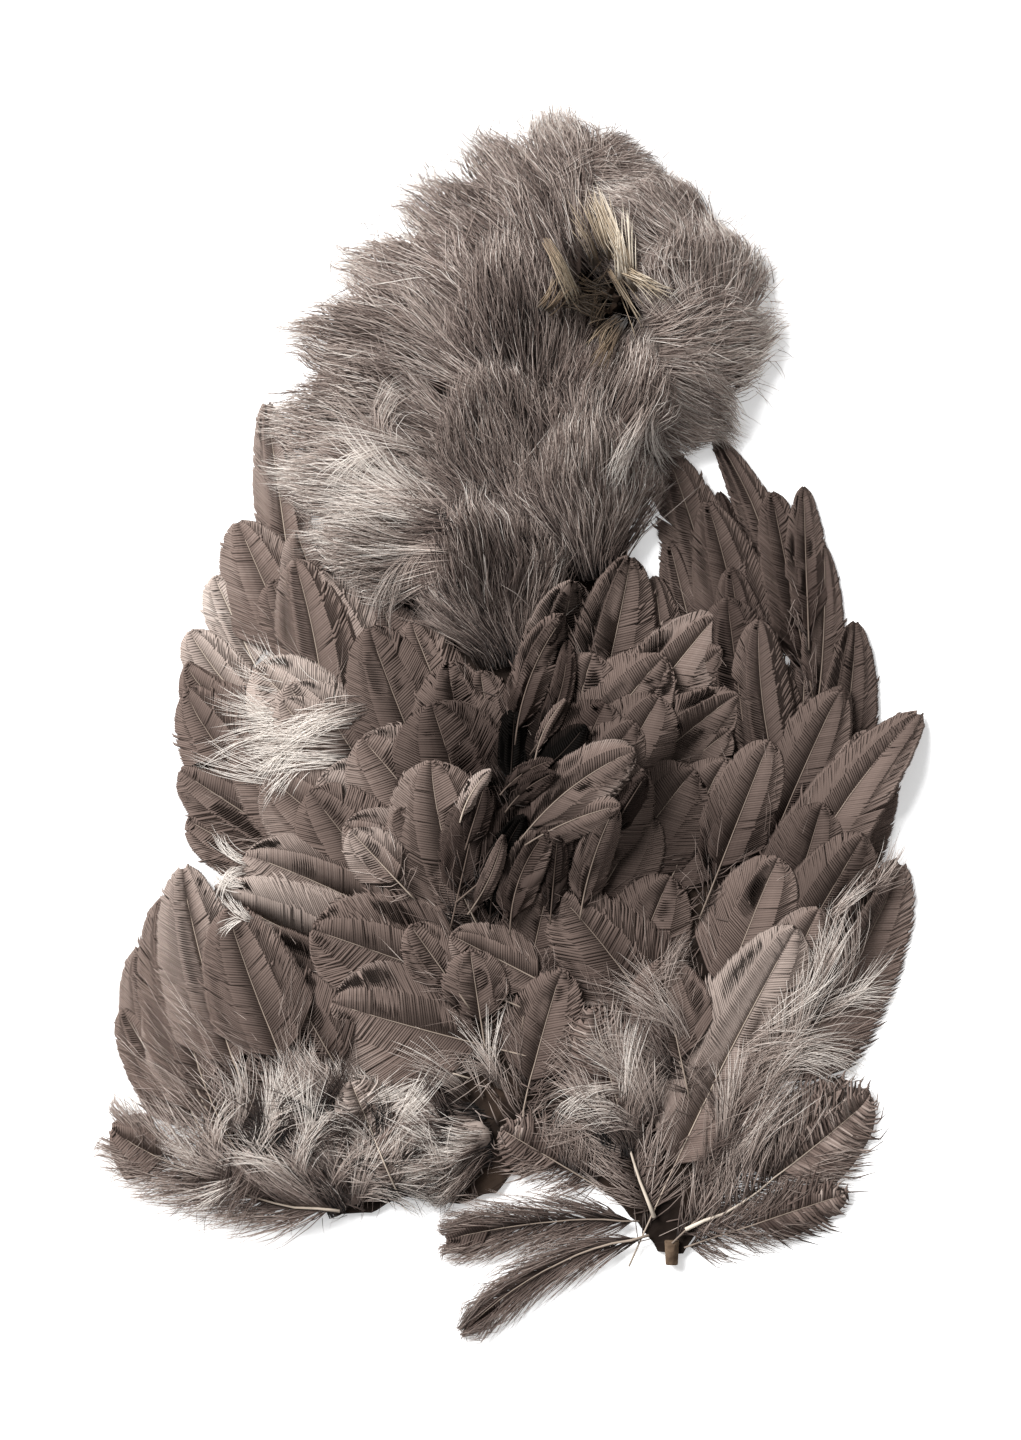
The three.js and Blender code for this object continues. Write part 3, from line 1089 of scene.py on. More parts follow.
        # Painted shade: darker towards the vane's base, under the overlying feathers.
        base = self.base_shade * (1 - ease(start, self.vane_from, self.vane_from + 0.45))
        # Painted light: paler at the margin, where light shines through the thin vane; slightly darker by
        # the shaft.
        margin = self.margin * ease(q, 0.7, 1.0) - 0.02 * (1 - ease(q, 0.0, 0.2))
        return base[:, None] + margin[None]

    def down(
        self, form: FeatherForm, mesh: StrandMesh, rng: np.random.Generator, own: float
    ) -> None:
        """Adds the loose down of the feather's base.

        Args:
            form: Where the feather lies.
            mesh: The mesh that takes it.
            rng: The feather's own random numbers.
            own: The feather's own tone.
        """
        count = self.down_count
        start = rng.uniform(0.03, self.vane_from + 0.12, count)
        side = rng.choice([-1.0, 1.0], count)
        widest = form.half.max()
        q = np.linspace(0.0, 1.0, self.DOWN_STATIONS)
        sweep = rng.uniform(*self.down_sweep, count)
        along = np.minimum(start[:, None] + sweep[:, None] * q**1.3, 1.0 + 0.03 * q)
        reach = rng.uniform(0.4, 1.1, count) * widest
        here = np.interp(np.clip(along, 0, 1), np.linspace(0, 1, form.STATIONS), form.half)
        aside = side[:, None] * reach[:, None] * q / np.maximum(here, 1.0)
        path = form.place(along, aside, np.full_like(along, 0.5))
        swing = rng.normal(0.0, 0.8, (count, 3))
        path += swing[:, None] * (np.sin(q * 4.0 + rng.uniform(0, 6, (count, 1))) * q)[..., None]
        path[..., 2] += rng.uniform(0.0, 1.6, (count, 1)) * q
        width = np.broadcast_to(0.24 * (1 - 0.7 * q), along.shape)
        local = (1 - self.EVEN) * tone_and_shade_at(path)
        tone = own - 0.14 + rng.normal(0.0, 0.07, (count, 1)) + 0.36 * q + local
        mesh.add(path, width, tone, Section.BLADE, 2)


@dataclass
class Plume(Feather):
    """A downy plume: fine loose barbs that flow from its root to its tip and fringe its edge."""

    tone: float = 0.52
    strands: int = 1900
    tufts: int = 130
    gather: float = 0.4
    barb_width: float = 0.2
    barb_length: float = 14.0
    fan: float = 0.4
    messy: float = 0.1
    # contrast: how strongly painted shade darkens the barbs' roots, deep in the fluff, against their paler
    # tips
    contrast: float = 1.0

    STATIONS: ClassVar[int] = 4
    SEEN: ClassVar[float] = 2.5
    BODY_ROWS: ClassVar[int] = 14
    BODY_COLUMNS: ClassVar[int] = 9

    def grow(self, form: FeatherForm, mesh: StrandMesh, rng: np.random.Generator) -> None:
        """Grows the whole plume.

        Args:
            form: Where it lies.
            mesh: The mesh that takes its strands.
            rng: The plume's own random numbers.
        """
        own = self.tone + rng.normal(0.0, 0.02)
        self.body(form, mesh, own)
        self.fluff(form, mesh, rng, own)

    def body(self, form: FeatherForm, mesh: StrandMesh, own: float) -> None:
        """Adds the dense down in the middle of the plume, under its loose barbs.

        Args:
            form: Where the plume lies.
            mesh: The mesh that takes it.
            own: The plume's own tone.
        """
        along = np.linspace(0.02, 0.8, self.BODY_ROWS)[:, None]
        aside = np.linspace(-0.7, 0.7, self.BODY_COLUMNS)
        crown = np.sin(np.linspace(0.06, math.pi - 0.06, self.BODY_COLUMNS)) ** 0.5
        crown = crown * np.sin(np.linspace(0.5, math.pi - 0.2, self.BODY_ROWS))[:, None] ** 0.5
        top = form.place(along, aside, 0.3 + 0.4 * crown)
        under = form.place(along, aside, 0.3 - 0.25 * crown)
        mesh.add_sheet(top, under, own - 0.08 + tone_and_shade_at(top), 2)

    def fluff(self, form: FeatherForm, mesh: StrandMesh, rng: np.random.Generator, own: float) -> None:
        """Adds the plume's barbs, which gather in small tufts and end along its rounded edge.

        Args:
            form: Where the plume lies.
            mesh: The mesh that takes them.
            rng: The plume's own random numbers.
            own: The plume's own tone.
        """
        form.half = np.maximum(form.half, 0.5 * form.half.max())
        count, tufts = self.strands, self.tufts
        tuft = rng.integers(0, tufts, count)
        tuft_start = rng.uniform(-0.04, 0.86, tufts)
        tuft_aside = rng.uniform(-0.85, 0.85, tufts)
        tuft_turn = rng.normal(0.0, self.messy, tufts)
        tuft_depth = rng.uniform(-0.6, 1.2, tufts)
        tuft_shade = rng.normal(0.0, 0.09 * self.contrast, tufts)
        start = tuft_start[tuft] + rng.normal(0.0, 0.05, count)
        aside = tuft_aside[tuft] + rng.normal(0.0, 0.13, count)
        length = self.barb_length / form.length * rng.uniform(0.6, 1.25, count)
        turn = self.fan * aside + tuft_turn[tuft] + rng.normal(0.0, 0.07, count)
        close = tuft_aside[tuft] + (turn + aside - tuft_aside[tuft]) * (1 - self.gather)
        tied = (rng.random(count) < 0.6) & (start + length < 0.9)
        end_aside = np.where(tied, close + turn * self.gather, aside + turn)
        astray = np.where(rng.random(count) < 0.15, 0.3, 0.06)
        end_aside = np.clip(end_aside, -1.1, 1.1) + rng.normal(0.0, 1.0, count) * astray
        rim = 0.5 + 0.52 * np.sqrt(1 - np.clip(np.abs(end_aside) * 0.86, 0.0, 0.98) ** 2)
        stray = np.minimum(rng.exponential(0.07, count) - 0.07, 0.13)
        end = np.minimum(start + length, rim + stray)
        start = np.minimum(start, end - 0.5 * length)
        q = np.linspace(0.0, 1.0, self.STATIONS)
        along = start[:, None] + (end - start)[:, None] * q
        sideways = aside[:, None] + (end_aside - aside)[:, None] * q**1.4
        path = form.place(along, sideways, np.ones_like(along))
        seen = path[..., 2] > mesh.cover.top.under(path) - self.SEEN
        swing = rng.normal(0.0, 0.5, (count, 2))
        phase = rng.uniform(0.0, 6.3, (count, 1))
        path[..., :2] += swing[:, None] * (np.sin(q * 4.0 + phase) * q)[..., None]
        rise = tuft_depth[tuft] + rng.normal(0.0, 0.45, count)
        path[..., 2] = mesh.cover.soft.under(path) - 1.4 + (1.4 + rise)[:, None] * np.sin(q * 2.2)
        path[..., 2] = np.maximum(path[..., 2], 0.2)
        width = np.broadcast_to(self.barb_width * (1 - 0.7 * q), along.shape)
        streak = 0.2 * (rng.random((count, 1)) < 0.1)
        own_shade = rng.normal(0.0, 0.08, (count, 1)) + tuft_shade[tuft][:, None] + streak
        own_shade = own_shade + 0.14 * ease(end, 0.85, 1.05)[:, None] * q
        # Painted shade: darker at the strands' roots, deep in the fluff, lighter towards their tips.
        tone = own + self.contrast * (0.34 * q - 0.2) + own_shade + tone_and_shade_at(path)
        kept = seen.mean(axis=1) > 0.45
        mesh.add(path[kept], width[kept], tone[kept], Section.BLADE, 2)


@dataclass(frozen=True)
class Covert:
    """A small feather that lies between the larger ones, by the places of its root and tip."""

    root: tuple[float, float]
    tip: tuple[float, float]
    width: float
    bend: float = 0.0
    lift: float = 0.15
    tone: float = 0.0


@dataclass
class Tract:
    """A group of feathers that overlie each other in order, with the coverts under and over them."""

    name: str
    kind: Feather
    slot: Slot
    seed: int
    coverts: tuple[Covert, ...] = ()
    covert_kind: Feather = field(default_factory=Feather)
    special: dict[int, Feather] = field(default_factory=dict)
    cover_tips: tuple[float, ...] = ()

    COVER_LENGTH: ClassVar[float] = 0.95
    COVER_WIDTH: ClassVar[float] = 1.1

    def nodes(self) -> list[str]:
        """The names of the tract's solids in the order that they were laid."""
        return sorted(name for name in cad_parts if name.startswith(self.name))

    def build(self, ground: Ground, cover: Cover) -> list[bpy.types.Object]:
        """Builds every feather of the tract.

        Args:
            ground: What lies under the tract, which grows with it.
            cover: The top of the whole patch.

        Returns:
            The pieces.
        """
        names = self.nodes()
        meshes = []
        ends = []
        for k, name in enumerate(names):
            mesh = StrandMesh(cover)
            for number, covert in enumerate(self.coverts):
                if number % len(names) == k:
                    self.lay_covert(covert, number, ground, mesh)
            form = FeatherForm.of_node(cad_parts[name])
            ends.append((form.centre[0], form.centre[-1], 2 * form.half.max()))
            kind = self.special.get(k + 1, self.kind)
            kind.grow(form, mesh, np.random.default_rng([self.seed, k]))
            ground.lay(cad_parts[name])
            meshes.append(mesh)
        self.lay_covers(ends, ground, meshes)
        made = []
        for name, mesh in zip(names, meshes):
            piece = mesh.piece(name + "_barbs", Feather.FINISHES, self.slot)
            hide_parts(name)
            made.append(piece)
        return made

    def lay_covers(self, ends: list[tuple], ground: Ground, meshes: list[StrandMesh]) -> None:
        """Lays rows of coverts over the roots of the tract, each row over the one before it.

        Args:
            ends: Root, tip and width of each feather of the tract.
            ground: What the rows lie on.
            meshes: The meshes of the tract's pieces.
        """
        rng = np.random.default_rng([self.seed, 99])
        for row, cover_tip in enumerate(self.cover_tips):
            shift = 0.5 * ((row + 1) % 2)
            for k in range(len(ends) - (row + 1) % 2):
                one, two = ends[k], ends[min(k + 1, len(ends) - 1)]
                part = shift + rng.uniform(-0.15, 0.15)
                root, tip = (one[i] * (1 - part) + two[i] * part for i in range(2))
                width = self.COVER_WIDTH * (one[2] + two[2]) / 2 * rng.uniform(0.85, 1.1)
                reach = (tip - root) * rng.uniform(0.9, 1.1)
                reach = reach + rng.normal(0.0, 0.09) * np.array([-reach[1], reach[0]])
                end = root + reach * cover_tip
                start = end - reach * self.COVER_LENGTH
                covert = Covert(tuple(start), tuple(end), width, rng.normal(0, 1.5), 0.25)
                self.lay_covert(covert, 50 + 10 * row + k, ground, meshes[k])

    def lay_covert(self, covert: Covert, number: int, ground: Ground, mesh: StrandMesh) -> None:
        """Adds one covert to a piece.

        Args:
            covert: The covert.
            number: Its number in the tract, for its random numbers.
            ground: What it lies on, which grows with it.
            mesh: The piece's mesh.
        """
        rng = np.random.default_rng([self.seed, 100 + number])
        kind = replace(self.covert_kind, tone=self.covert_kind.tone + covert.tone)
        form = FeatherForm.laid(covert, ground)
        kind.grow(form, mesh, rng)
        ground.lay_form(form)


@dataclass
class Parting:
    """The narrow feathers that curl over each other where the plumage parts; the darkest of them are
    painted shade in the parting's hollow.
    """

    name: str
    kind: Feather
    feathers: tuple[Covert, ...]
    seed: int

    def build(self, ground: Ground, cover: Cover) -> bpy.types.Object:
        """Lays the feathers one over the other.

        Args:
            ground: What they lie on, which grows with them.
            cover: The top of the whole patch.

        Returns:
            The piece.
        """
        mesh = StrandMesh(cover)
        for number, feather in enumerate(self.feathers):
            kind = replace(self.kind, tone=self.kind.tone + feather.tone)
            form = FeatherForm.laid(feather, ground)
            kind.grow(form, mesh, np.random.default_rng([self.seed, number]))
            ground.lay_form(form)
        return mesh.piece(self.name, Feather.FINISHES, Slot.VANE)


@dataclass(frozen=True)
class Tuft:
    """A wisp of loose down, by its root, the way it points, and how pale it is."""

    root: tuple[float, float]
    heading: float
    length: float
    tone: float
    spread: float = 0.6
    radius: float = 3.0
    strands: int = 130
    waves: float = 1.0


@dataclass
class LooseDown:
    """Wisps that have come out between the feathers, along the patch's edge or round the vent."""

    name: str
    finish: BarbFinish
    tufts: tuple[Tuft, ...]
    curl: float = 0.8
    strand_width: float = 0.17
    lock_size: int = 32
    height: float = 0.2
    seed: int = 31

    STATIONS: ClassVar[int] = 5
    ROOTED: ClassVar[float] = 1.5

    def build(self, ground: Ground) -> bpy.types.Object:
        """Grows all the wisps.

        Args:
            ground: What they lie on.

        Returns:
            The piece.
        """
        mesh = StrandMesh()
        for k, tuft in enumerate(self.tufts):
            self.grow(tuft, ground, mesh, np.random.default_rng([self.seed, k]))
        return mesh.piece(self.name, (self.finish,), Slot.DOWN)

    def grow(self, tuft: Tuft, ground: Ground, mesh: StrandMesh, rng: np.random.Generator) -> None:
        """Grows one wisp, whose strands curl on their own and in small locks.

        Args:
            tuft: The wisp.
            ground: What it lies on.
            mesh: The mesh that takes it.
            rng: The wisp's own random numbers.
        """
        count = tuft.strands
        locks = max(3, count // self.lock_size)
        lock = rng.integers(0, locks, count)
        heading = math.radians(tuft.heading) + rng.normal(0.0, tuft.spread, locks)[lock]
        heading = heading + rng.normal(0.0, 0.11, count) * tuft.waves
        curl = rng.normal(0.0, self.curl, locks)[lock] + rng.normal(0.0, 0.15, count)
        curl = curl * tuft.waves
        q = np.linspace(0.0, 1.0, self.STATIONS)
        length = tuft.length * rng.uniform(0.5, 1.1, count)
        turn = heading[:, None] + curl[:, None] * q
        step = length[:, None] / (self.STATIONS - 1)
        travel = np.stack([np.cos(turn) * step, np.sin(turn) * step], axis=2)
        travel[:, 0] = 0.0
        root = np.array(tuft.root) + rng.normal(0.0, tuft.radius / 2, (locks, 2))[lock]
        root = root + rng.normal(0.0, 0.25 + 0.1 * tuft.radius, (count, 2))
        flat = root[:, None] + np.cumsum(travel, axis=1)
        rest = ground.under(flat)
        rooted = rest[:, 0] > self.ROOTED
        lift = rng.uniform(0.2, 2.4, (count, 1)) * np.sin(q * 2.3)
        path = np.concatenate([flat, (rest + self.height + lift)[..., None]], axis=2)
        width = np.broadcast_to(self.strand_width * (1 - 0.7 * q), path.shape[:2])
        shade = rng.normal(0.0, 0.06, (count, 1)) + rng.normal(0.0, 0.08, locks)[lock][:, None]
        tone = tuft.tone - 0.32 + 0.42 * q**0.7 + shade
        tone = np.broadcast_to(tone, path.shape[:2])
        mesh.add(path[rooted], width[rooted], tone[rooted], Section.BLADE, 0)


@dataclass
class Skin:
    """The dried skin with its ragged edge, the rim of the vent, and the down that grows on it."""

    edge_cuts: int = 5
    thickness: float = 1.2
    ragged: float = 0.9
    relief: float = 0.35
    long_edge: float = 8.0
    touching: float = 0.01
    down_count: int = 1400
    down_length: float = 7.0
    vent: tuple[float, float] = (17.0, 84.0)
    vent_hole: float = 1.6
    vent_rim: float = 3.6
    vent_height: float = 8.4
    stub: tuple[float, float] = (30.5, -107.0)
    stub_radius: float = 1.5
    stub_length: float = 5.0
    seed: int = 7

    def build(self) -> list[bpy.types.Object]:
        """Builds the hide and its down.

        Returns:
            The pieces.
        """
        return [self.hide(), self.under_down()]

    def hide(self) -> bpy.types.Object:
        """Models the hide from the solid's flat underside.

        Returns:
            The piece that replaces the solid.
        """
        noise.seed_set(self.seed)
        shape = bmesh.new()
        shape.from_mesh(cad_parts["skin"].data)
        bmesh.ops.remove_doubles(shape, verts=shape.verts, dist=self.touching * MM)
        upper = [f for f in shape.faces if max(v.co.z for v in f.verts) >= self.touching * MM]
        bmesh.ops.delete(shape, geom=upper, context="FACES")
        bmesh.ops.dissolve_faces(shape, faces=shape.faces[:])
        bmesh.ops.subdivide_edges(shape, edges=shape.edges[:], cuts=self.edge_cuts)
        for vert in shape.verts:
            shift = noise.noise_vector(vert.co * 220) * self.ragged * MM
            vert.co += Vector((shift.x, shift.y, 0))
        bmesh.ops.triangulate(shape, faces=shape.faces[:])
        long_edges = [e for e in shape.edges if e.calc_length() > self.long_edge * MM]
        bmesh.ops.subdivide_edges(shape, edges=long_edges, cuts=4)
        bmesh.ops.triangulate(shape, faces=shape.faces[:])
        grown = bmesh.ops.extrude_face_region(shape, geom=shape.faces[:])
        for vert in (g for g in grown["geom"] if isinstance(g, bmesh.types.BMVert)):
            lump = noise.noise(vert.co * 160) * self.relief * MM
            vert.co.z += self.thickness * MM + lump
        bmesh.ops.recalc_face_normals(shape, faces=shape.faces[:])
        self.vent_ring(shape)
        self.tendon(shape)
        mesh = bpy.data.meshes.new("hide")
        shape.to_mesh(mesh)
        shape.free()
        mesh.materials.append(Wardrobe.get(HIDE_FINISH))
        mesh.materials.append(Wardrobe.get(TENDON_FINISH))
        piece = bpy.data.objects.new("hide", mesh)
        bpy.context.scene.collection.objects.link(piece)
        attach(piece, BODY)
        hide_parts("skin")
        return piece

    def vent_ring(self, shape: bmesh.types.BMesh) -> None:
        """Adds the puckered rim of the vent.

        Args:
            shape: The hide's bmesh.
        """
        hole, rim, high = self.vent_hole, self.vent_rim, self.vent_height
        profile = ((hole, 0.8), (rim, 0.8), (rim - 0.3, high * 0.6), (rim - 1.0, high), (hole, high - 0.5))
        start = [shape.verts.new((r * MM, 0, z * MM)) for r, z in profile]
        edges = [shape.edges.new((a, b)) for a, b in zip(start, start[1:] + start[:1])]
        spun = bmesh.ops.spin(
            shape,
            geom=start + edges,
            cent=(0, 0, 0),
            axis=(0, 0, 1),
            angle=math.tau,
            steps=28,
            use_merge=True,
        )
        last = [g for g in spun["geom_last"] if isinstance(g, bmesh.types.BMVert)]
        ring = self.linked(set(last or start))
        for vert in ring:
            angle = math.atan2(vert.co.y, vert.co.x)
            pucker = 1 + 0.1 * math.sin(9 * angle) + 0.06 * math.sin(5 * angle + 1)
            vert.co.x *= pucker
            vert.co.y *= pucker
            vert.co.z *= 1 + 0.08 * math.sin(7 * angle)
        faces = list({f for v in ring for f in v.link_faces})
        bmesh.ops.recalc_face_normals(shape, faces=faces)
        bmesh.ops.translate(shape, verts=list(ring), vec=(self.vent[0] * MM, self.vent[1] * MM, 0))

    @staticmethod
    def linked(start: set) -> set:
        """Finds every vertex that is joined to some vertices.

        Args:
            start: The vertices to start from.

        Returns:
            All the vertices of their bodies.
        """
        found = set(start)
        waiting = list(start)
        while waiting:
            vert = waiting.pop()
            for edge in vert.link_edges:
                other = edge.other_vert(vert)
                if other not in found:
                    found.add(other)
                    waiting.append(other)
        return found

    def tendon(self, shape: bmesh.types.BMesh) -> None:
        """Adds the cut tendon end at the breast edge.

        Args:
            shape: The hide's bmesh.
        """
        skin = set(shape.faces)
        lie = Matrix.Rotation(math.pi / 2, 4, "X")
        place = Matrix.Translation((self.stub[0] * MM, self.stub[1] * MM, (self.stub_radius + 0.2) * MM))
        made = bmesh.ops.create_cone(
            shape,
            cap_ends=True,
            segments=14,
            radius1=self.stub_radius * MM,
            radius2=self.stub_radius * 0.85 * MM,
            depth=self.stub_length * MM,
            matrix=place @ lie,
        )
        edges = list({e for v in made["verts"] for e in v.link_edges})
        bmesh.ops.bevel(
            shape,
            geom=edges,
            offset=0.25 * MM,
            offset_type="OFFSET",
            segments=2,
            profile=0.5,
            affect="EDGES",
            material=-1,
        )
        for face in shape.faces:
            face.material_index = 0 if face in skin else 1

    def under_down(self) -> bpy.types.Object:
        """Grows the short dark down that covers the skin.

        Returns:
            The piece.
        """
        rng = np.random.default_rng(self.seed)
        points, _, tree = solid_of(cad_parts["skin"])
        low, high = points.min(axis=0), points.max(axis=0)
        roots = []
        while len(roots) < self.down_count:
            x, y = rng.uniform(low[:2], high[:2])
            if tree.ray_cast(Vector((x, y, LOOKOUT)), DOWNWARDS)[0] is not None:
                roots.append((x, y, self.thickness))
        root = np.array(roots)
        outwards = np.stack([np.sign(root[:, 0] + 2) * 0.7, np.full(len(root), 0.7)], axis=1)
        turn = rng.normal(0.0, 0.5, len(root))
        heading = np.stack(
            [
                outwards[:, 0] * np.cos(turn) - outwards[:, 1] * np.sin(turn),
                outwards[:, 0] * np.sin(turn) + outwards[:, 1] * np.cos(turn),
            ],
            axis=1,
        )
        length = rng.uniform(0.5, 1.0, len(root)) * self.down_length
        q = np.linspace(0.0, 1.0, 4)
        path = np.zeros((len(root), 4, 3))
        path[..., :2] = root[:, None, :2] + heading[:, None] * (length[:, None] * q)[..., None]
        path[..., 2] = root[:, 2:] + rng.uniform(0.3, 2.2, (len(root), 1)) * np.sin(q * 2.4)
        width = np.broadcast_to(0.4 * (1 - 0.6 * q), path.shape[:2])
        tone = 0.36 + rng.normal(0.0, 0.05, (len(root), 1)) + 0.08 * q + tone_and_shade_at(path)
        mesh = StrandMesh()
        mesh.add(path, width, tone, Section.BLADE, 0)
        return mesh.piece("skin_down", (DOWN_FINISH,), Slot.DOWN)


@dataclass
class Stage:
    """The white table, the soft studio light and the camera that looks straight down."""

    camera_height: float = 1.4
    focus_height: float = 8.0
    key_power: float = 104.0
    key_size: float = 1.2
    key_from: tuple[float, float, float] = (-1.3, 1.1, 1.5)
    fill: float = 0.36
    table_side: float = 6.0

    def build(self) -> None:
        """Sets everything up."""
        self.table()
        self.lights()
        self.camera()

    def table(self) -> None:
        """Makes the table."""
        shape = bmesh.new()
        bmesh.ops.create_grid(shape, x_segments=1, y_segments=1, size=self.table_side / 2)
        mesh = bpy.data.meshes.new("table")
        shape.to_mesh(mesh)
        shape.free()
        mesh.materials.append(Wardrobe.get(TABLE_FINISH))
        table = bpy.data.objects.new("table", mesh)
        table.location.z = -0.0002
        bpy.context.scene.collection.objects.link(table)
        table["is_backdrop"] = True

    def lights(self) -> None:
        """Places the key light at the upper left, and an even white sky."""
        data = bpy.data.lights.new("key", "AREA")
        data.energy = self.key_power
        data.size = self.key_size
        key = bpy.data.objects.new("key", data)
        key.location = self.key_from
        key.rotation_euler = (-Vector(self.key_from)).to_track_quat("-Z", "Y").to_euler()
        bpy.context.scene.collection.objects.link(key)
        world = bpy.data.worlds.new("studio")
        bpy.context.scene.world = world
        world.use_nodes = True
        sky = world.node_tree.nodes["Background"]
        sky.inputs["Color"].default_value = (1.0, 1.0, 1.0, 1.0)
        sky.inputs["Strength"].default_value = self.fill
        bpy.context.scene.view_settings.view_transform = "Standard"

    def camera(self) -> None:
        """Hangs the camera over the table so that the picture keeps the photo's scale."""
        data = bpy.data.cameras.new("camera")
        data.sensor_width = 36.0
        distance = self.camera_height - self.focus_height * MM
        data.lens = data.sensor_width * distance / (IMAGE_SIZE[1] / PIXELS_PER_MM * MM)
        data.clip_end = 20.0
        camera = bpy.data.objects.new("camera", data)
        camera.location = (IMAGE_CENTRE[0] * MM, IMAGE_CENTRE[1] * MM, self.camera_height)
        bpy.context.scene.collection.objects.link(camera)
        bpy.context.scene.camera = camera


TRACTS = (
    Tract(
        "right_wing_feather",
        Feather(tone=0.34, vane_from=0.12, down_count=30, point=0.15),
        Slot.VANE,
        11,
        (
            Covert((48, 4), (40, 46), 10),
            Covert((36, 12), (30, 36), 9),
            Covert((50, -8), (45, 32), 11),
            Covert((59, 4), (50.5, 46), 11),
            Covert((58, 14), (57, 47), 9),
            Covert((56, -16), (57.5, 16), 9),
            Covert((52, -18), (53, 10), 10),
            Covert((45, -22), (43, 2), 12),
            Covert((58, -26), (66, 15.5), 9),
            Covert((31, -2), (27, 29), 10),
        ),
        Feather(tone=0.34, vane_from=0.12, down_count=20, point=0.15),
        cover_tips=(0.5,),
    ),
    Tract(
        "left_flank_feather",
        Feather(tone=0.48),
        Slot.VANE,
        12,
        (
            Covert((-50, 4), (-61.5, 29), 12, 0, 0.15, 0.15),
            Covert((-44, -6), (-66.5, 18), 13, 2, 0.15, 0.2),
            Covert((-36, 0), (-50, 28), 14),
            Covert((-32, 4), (-45, 38), 15),
            Covert((-18, -4), (-28, 24), 15),
        ),
        cover_tips=(0.55,),
    ),
    Tract("rump_plume", Plume(tone=0.58), Slot.DOWN, 13),
    Tract("side_plume", Plume(tone=0.61), Slot.DOWN, 14),
    Tract("belly_plume", Plume(tone=0.5), Slot.DOWN, 15),
    Tract(
        "left_breast_feather",
        Feather(tone=0.46),
        Slot.VANE,
        16,
        (
            Covert((-42, -34), (-67, -20), 13),
            Covert((-38, -30), (-68.5, -10), 16),
            Covert((-26, -22), (-48, 4), 16),
            Covert((-10, -10), (-22, 20), 15),
            Covert((-4, -14), (-8, 10), 12, 0, 0.15, -0.06),
        ),
        cover_tips=(0.7, 0.38),
    ),
    Tract(
        "right_breast_feather",
        Feather(tone=0.45),
        Slot.VANE,
        17,
        (
            Covert((0, -11), (7.5, 20.5), 10),
            Covert((13, -12), (40.5, 14.5), 13),
            Covert((20, -20), (42, -2), 14),
            Covert((8, -16), (34.5, -7), 12),
            Covert((18, -42), (21, -16), 14),
            Covert((-1, -42), (4.5, -23), 8, 0, 0.15, -0.06),
            Covert((-14, -42), (-7, -11), 10),
        ),
        Feather(tone=0.43),
        cover_tips=(0.66, 0.36),
    ),
    Tract(
        "right_flank_feather",
        Feather(tone=0.41, point=0.15),
        Slot.VANE,
        18,
        (
            Covert((40, -45), (46, -8), 15),
            Covert((36, -40), (50, -4), 15),
            Covert((56, -46), (70, -2), 14),
        ),
        cover_tips=(0.6, 0.3),
    ),
    Tract(
        "left_shield_feather",
        Feather(tone=0.54),
        Slot.VANE,
        19,
        (
            Covert((-21, -36), (-34, -22), 12),
            Covert((-13, -64), (-56, -48), 19),
            Covert((-30, -58), (-60, -44), 16),
        ),
        Feather(tone=0.54),
        cover_tips=(0.62,),
    ),
    Tract(
        "lower_breast_feather",
        Feather(tone=0.46, vane_from=0.34, down_count=120, frayed=0.12),
        Slot.VANE,
        20,
        (
            Covert((-10, -58), (-22, -41), 12),
            Covert((34, -76), (28, -48), 18),
            Covert((11, -56), (-14, -43), 14, 0, 0.15, 0.03),
            Covert((-7, -66), (-10, -46), 14),
        ),
        special={3: Feather(tone=0.46, vane_from=0.78, down_count=480, down_sweep=(0.25, 0.6))},
    ),
    Tract(
        "left_fan_feather",
        Feather(tone=0.5, vane_from=0.34, down_count=90),
        Slot.VANE,
        21,
        (
            Covert((-60, -92), (-80, -58), 13),
            Covert((-58, -88), (-74, -56), 14),
            Covert((-44, -84), (-62, -48), 16),
            Covert((-32, -78), (-48, -50), 16),
        ),
    ),
    Tract("edge_tuft", Plume(tone=0.5, tufts=46, gather=0.6, messy=0.3, contrast=2.0), Slot.DOWN, 22),
    Tract(
        "edge_feather",
        Feather(
            tone=0.46,
            vane_from=0.5,
            down_count=340,
            splits=5,
            quill_shows=0.7,
            margin=0.12,
            frayed=1.0,
        ),
        Slot.VANE,
        23,
        (
            Covert((-24, -96), (-34, -72), 18, 0, 0.15, 0.08),
            Covert((30.5, -105), (66, -72), 18),
            Covert((16, -94), (-4, -82), 18),
            Covert((33, -106), (66, -95), 14),
        ),
        Feather(tone=0.44, vane_from=0.45, down_count=200, splits=5, margin=0.12, frayed=1.0),
        {
            3: Feather(
                tone=0.5,
                vane_from=0.76,
                down_count=620,
                down_sweep=(0.15, 0.5),
                quill_shows=0.4,
            ),
            4: Feather(
                tone=0.46,
                vane_from=0.8,
                down_count=420,
                down_sweep=(0.25, 0.7),
                quill_shows=0.3,
                point=0.5,
            ),
        },
    ),
)


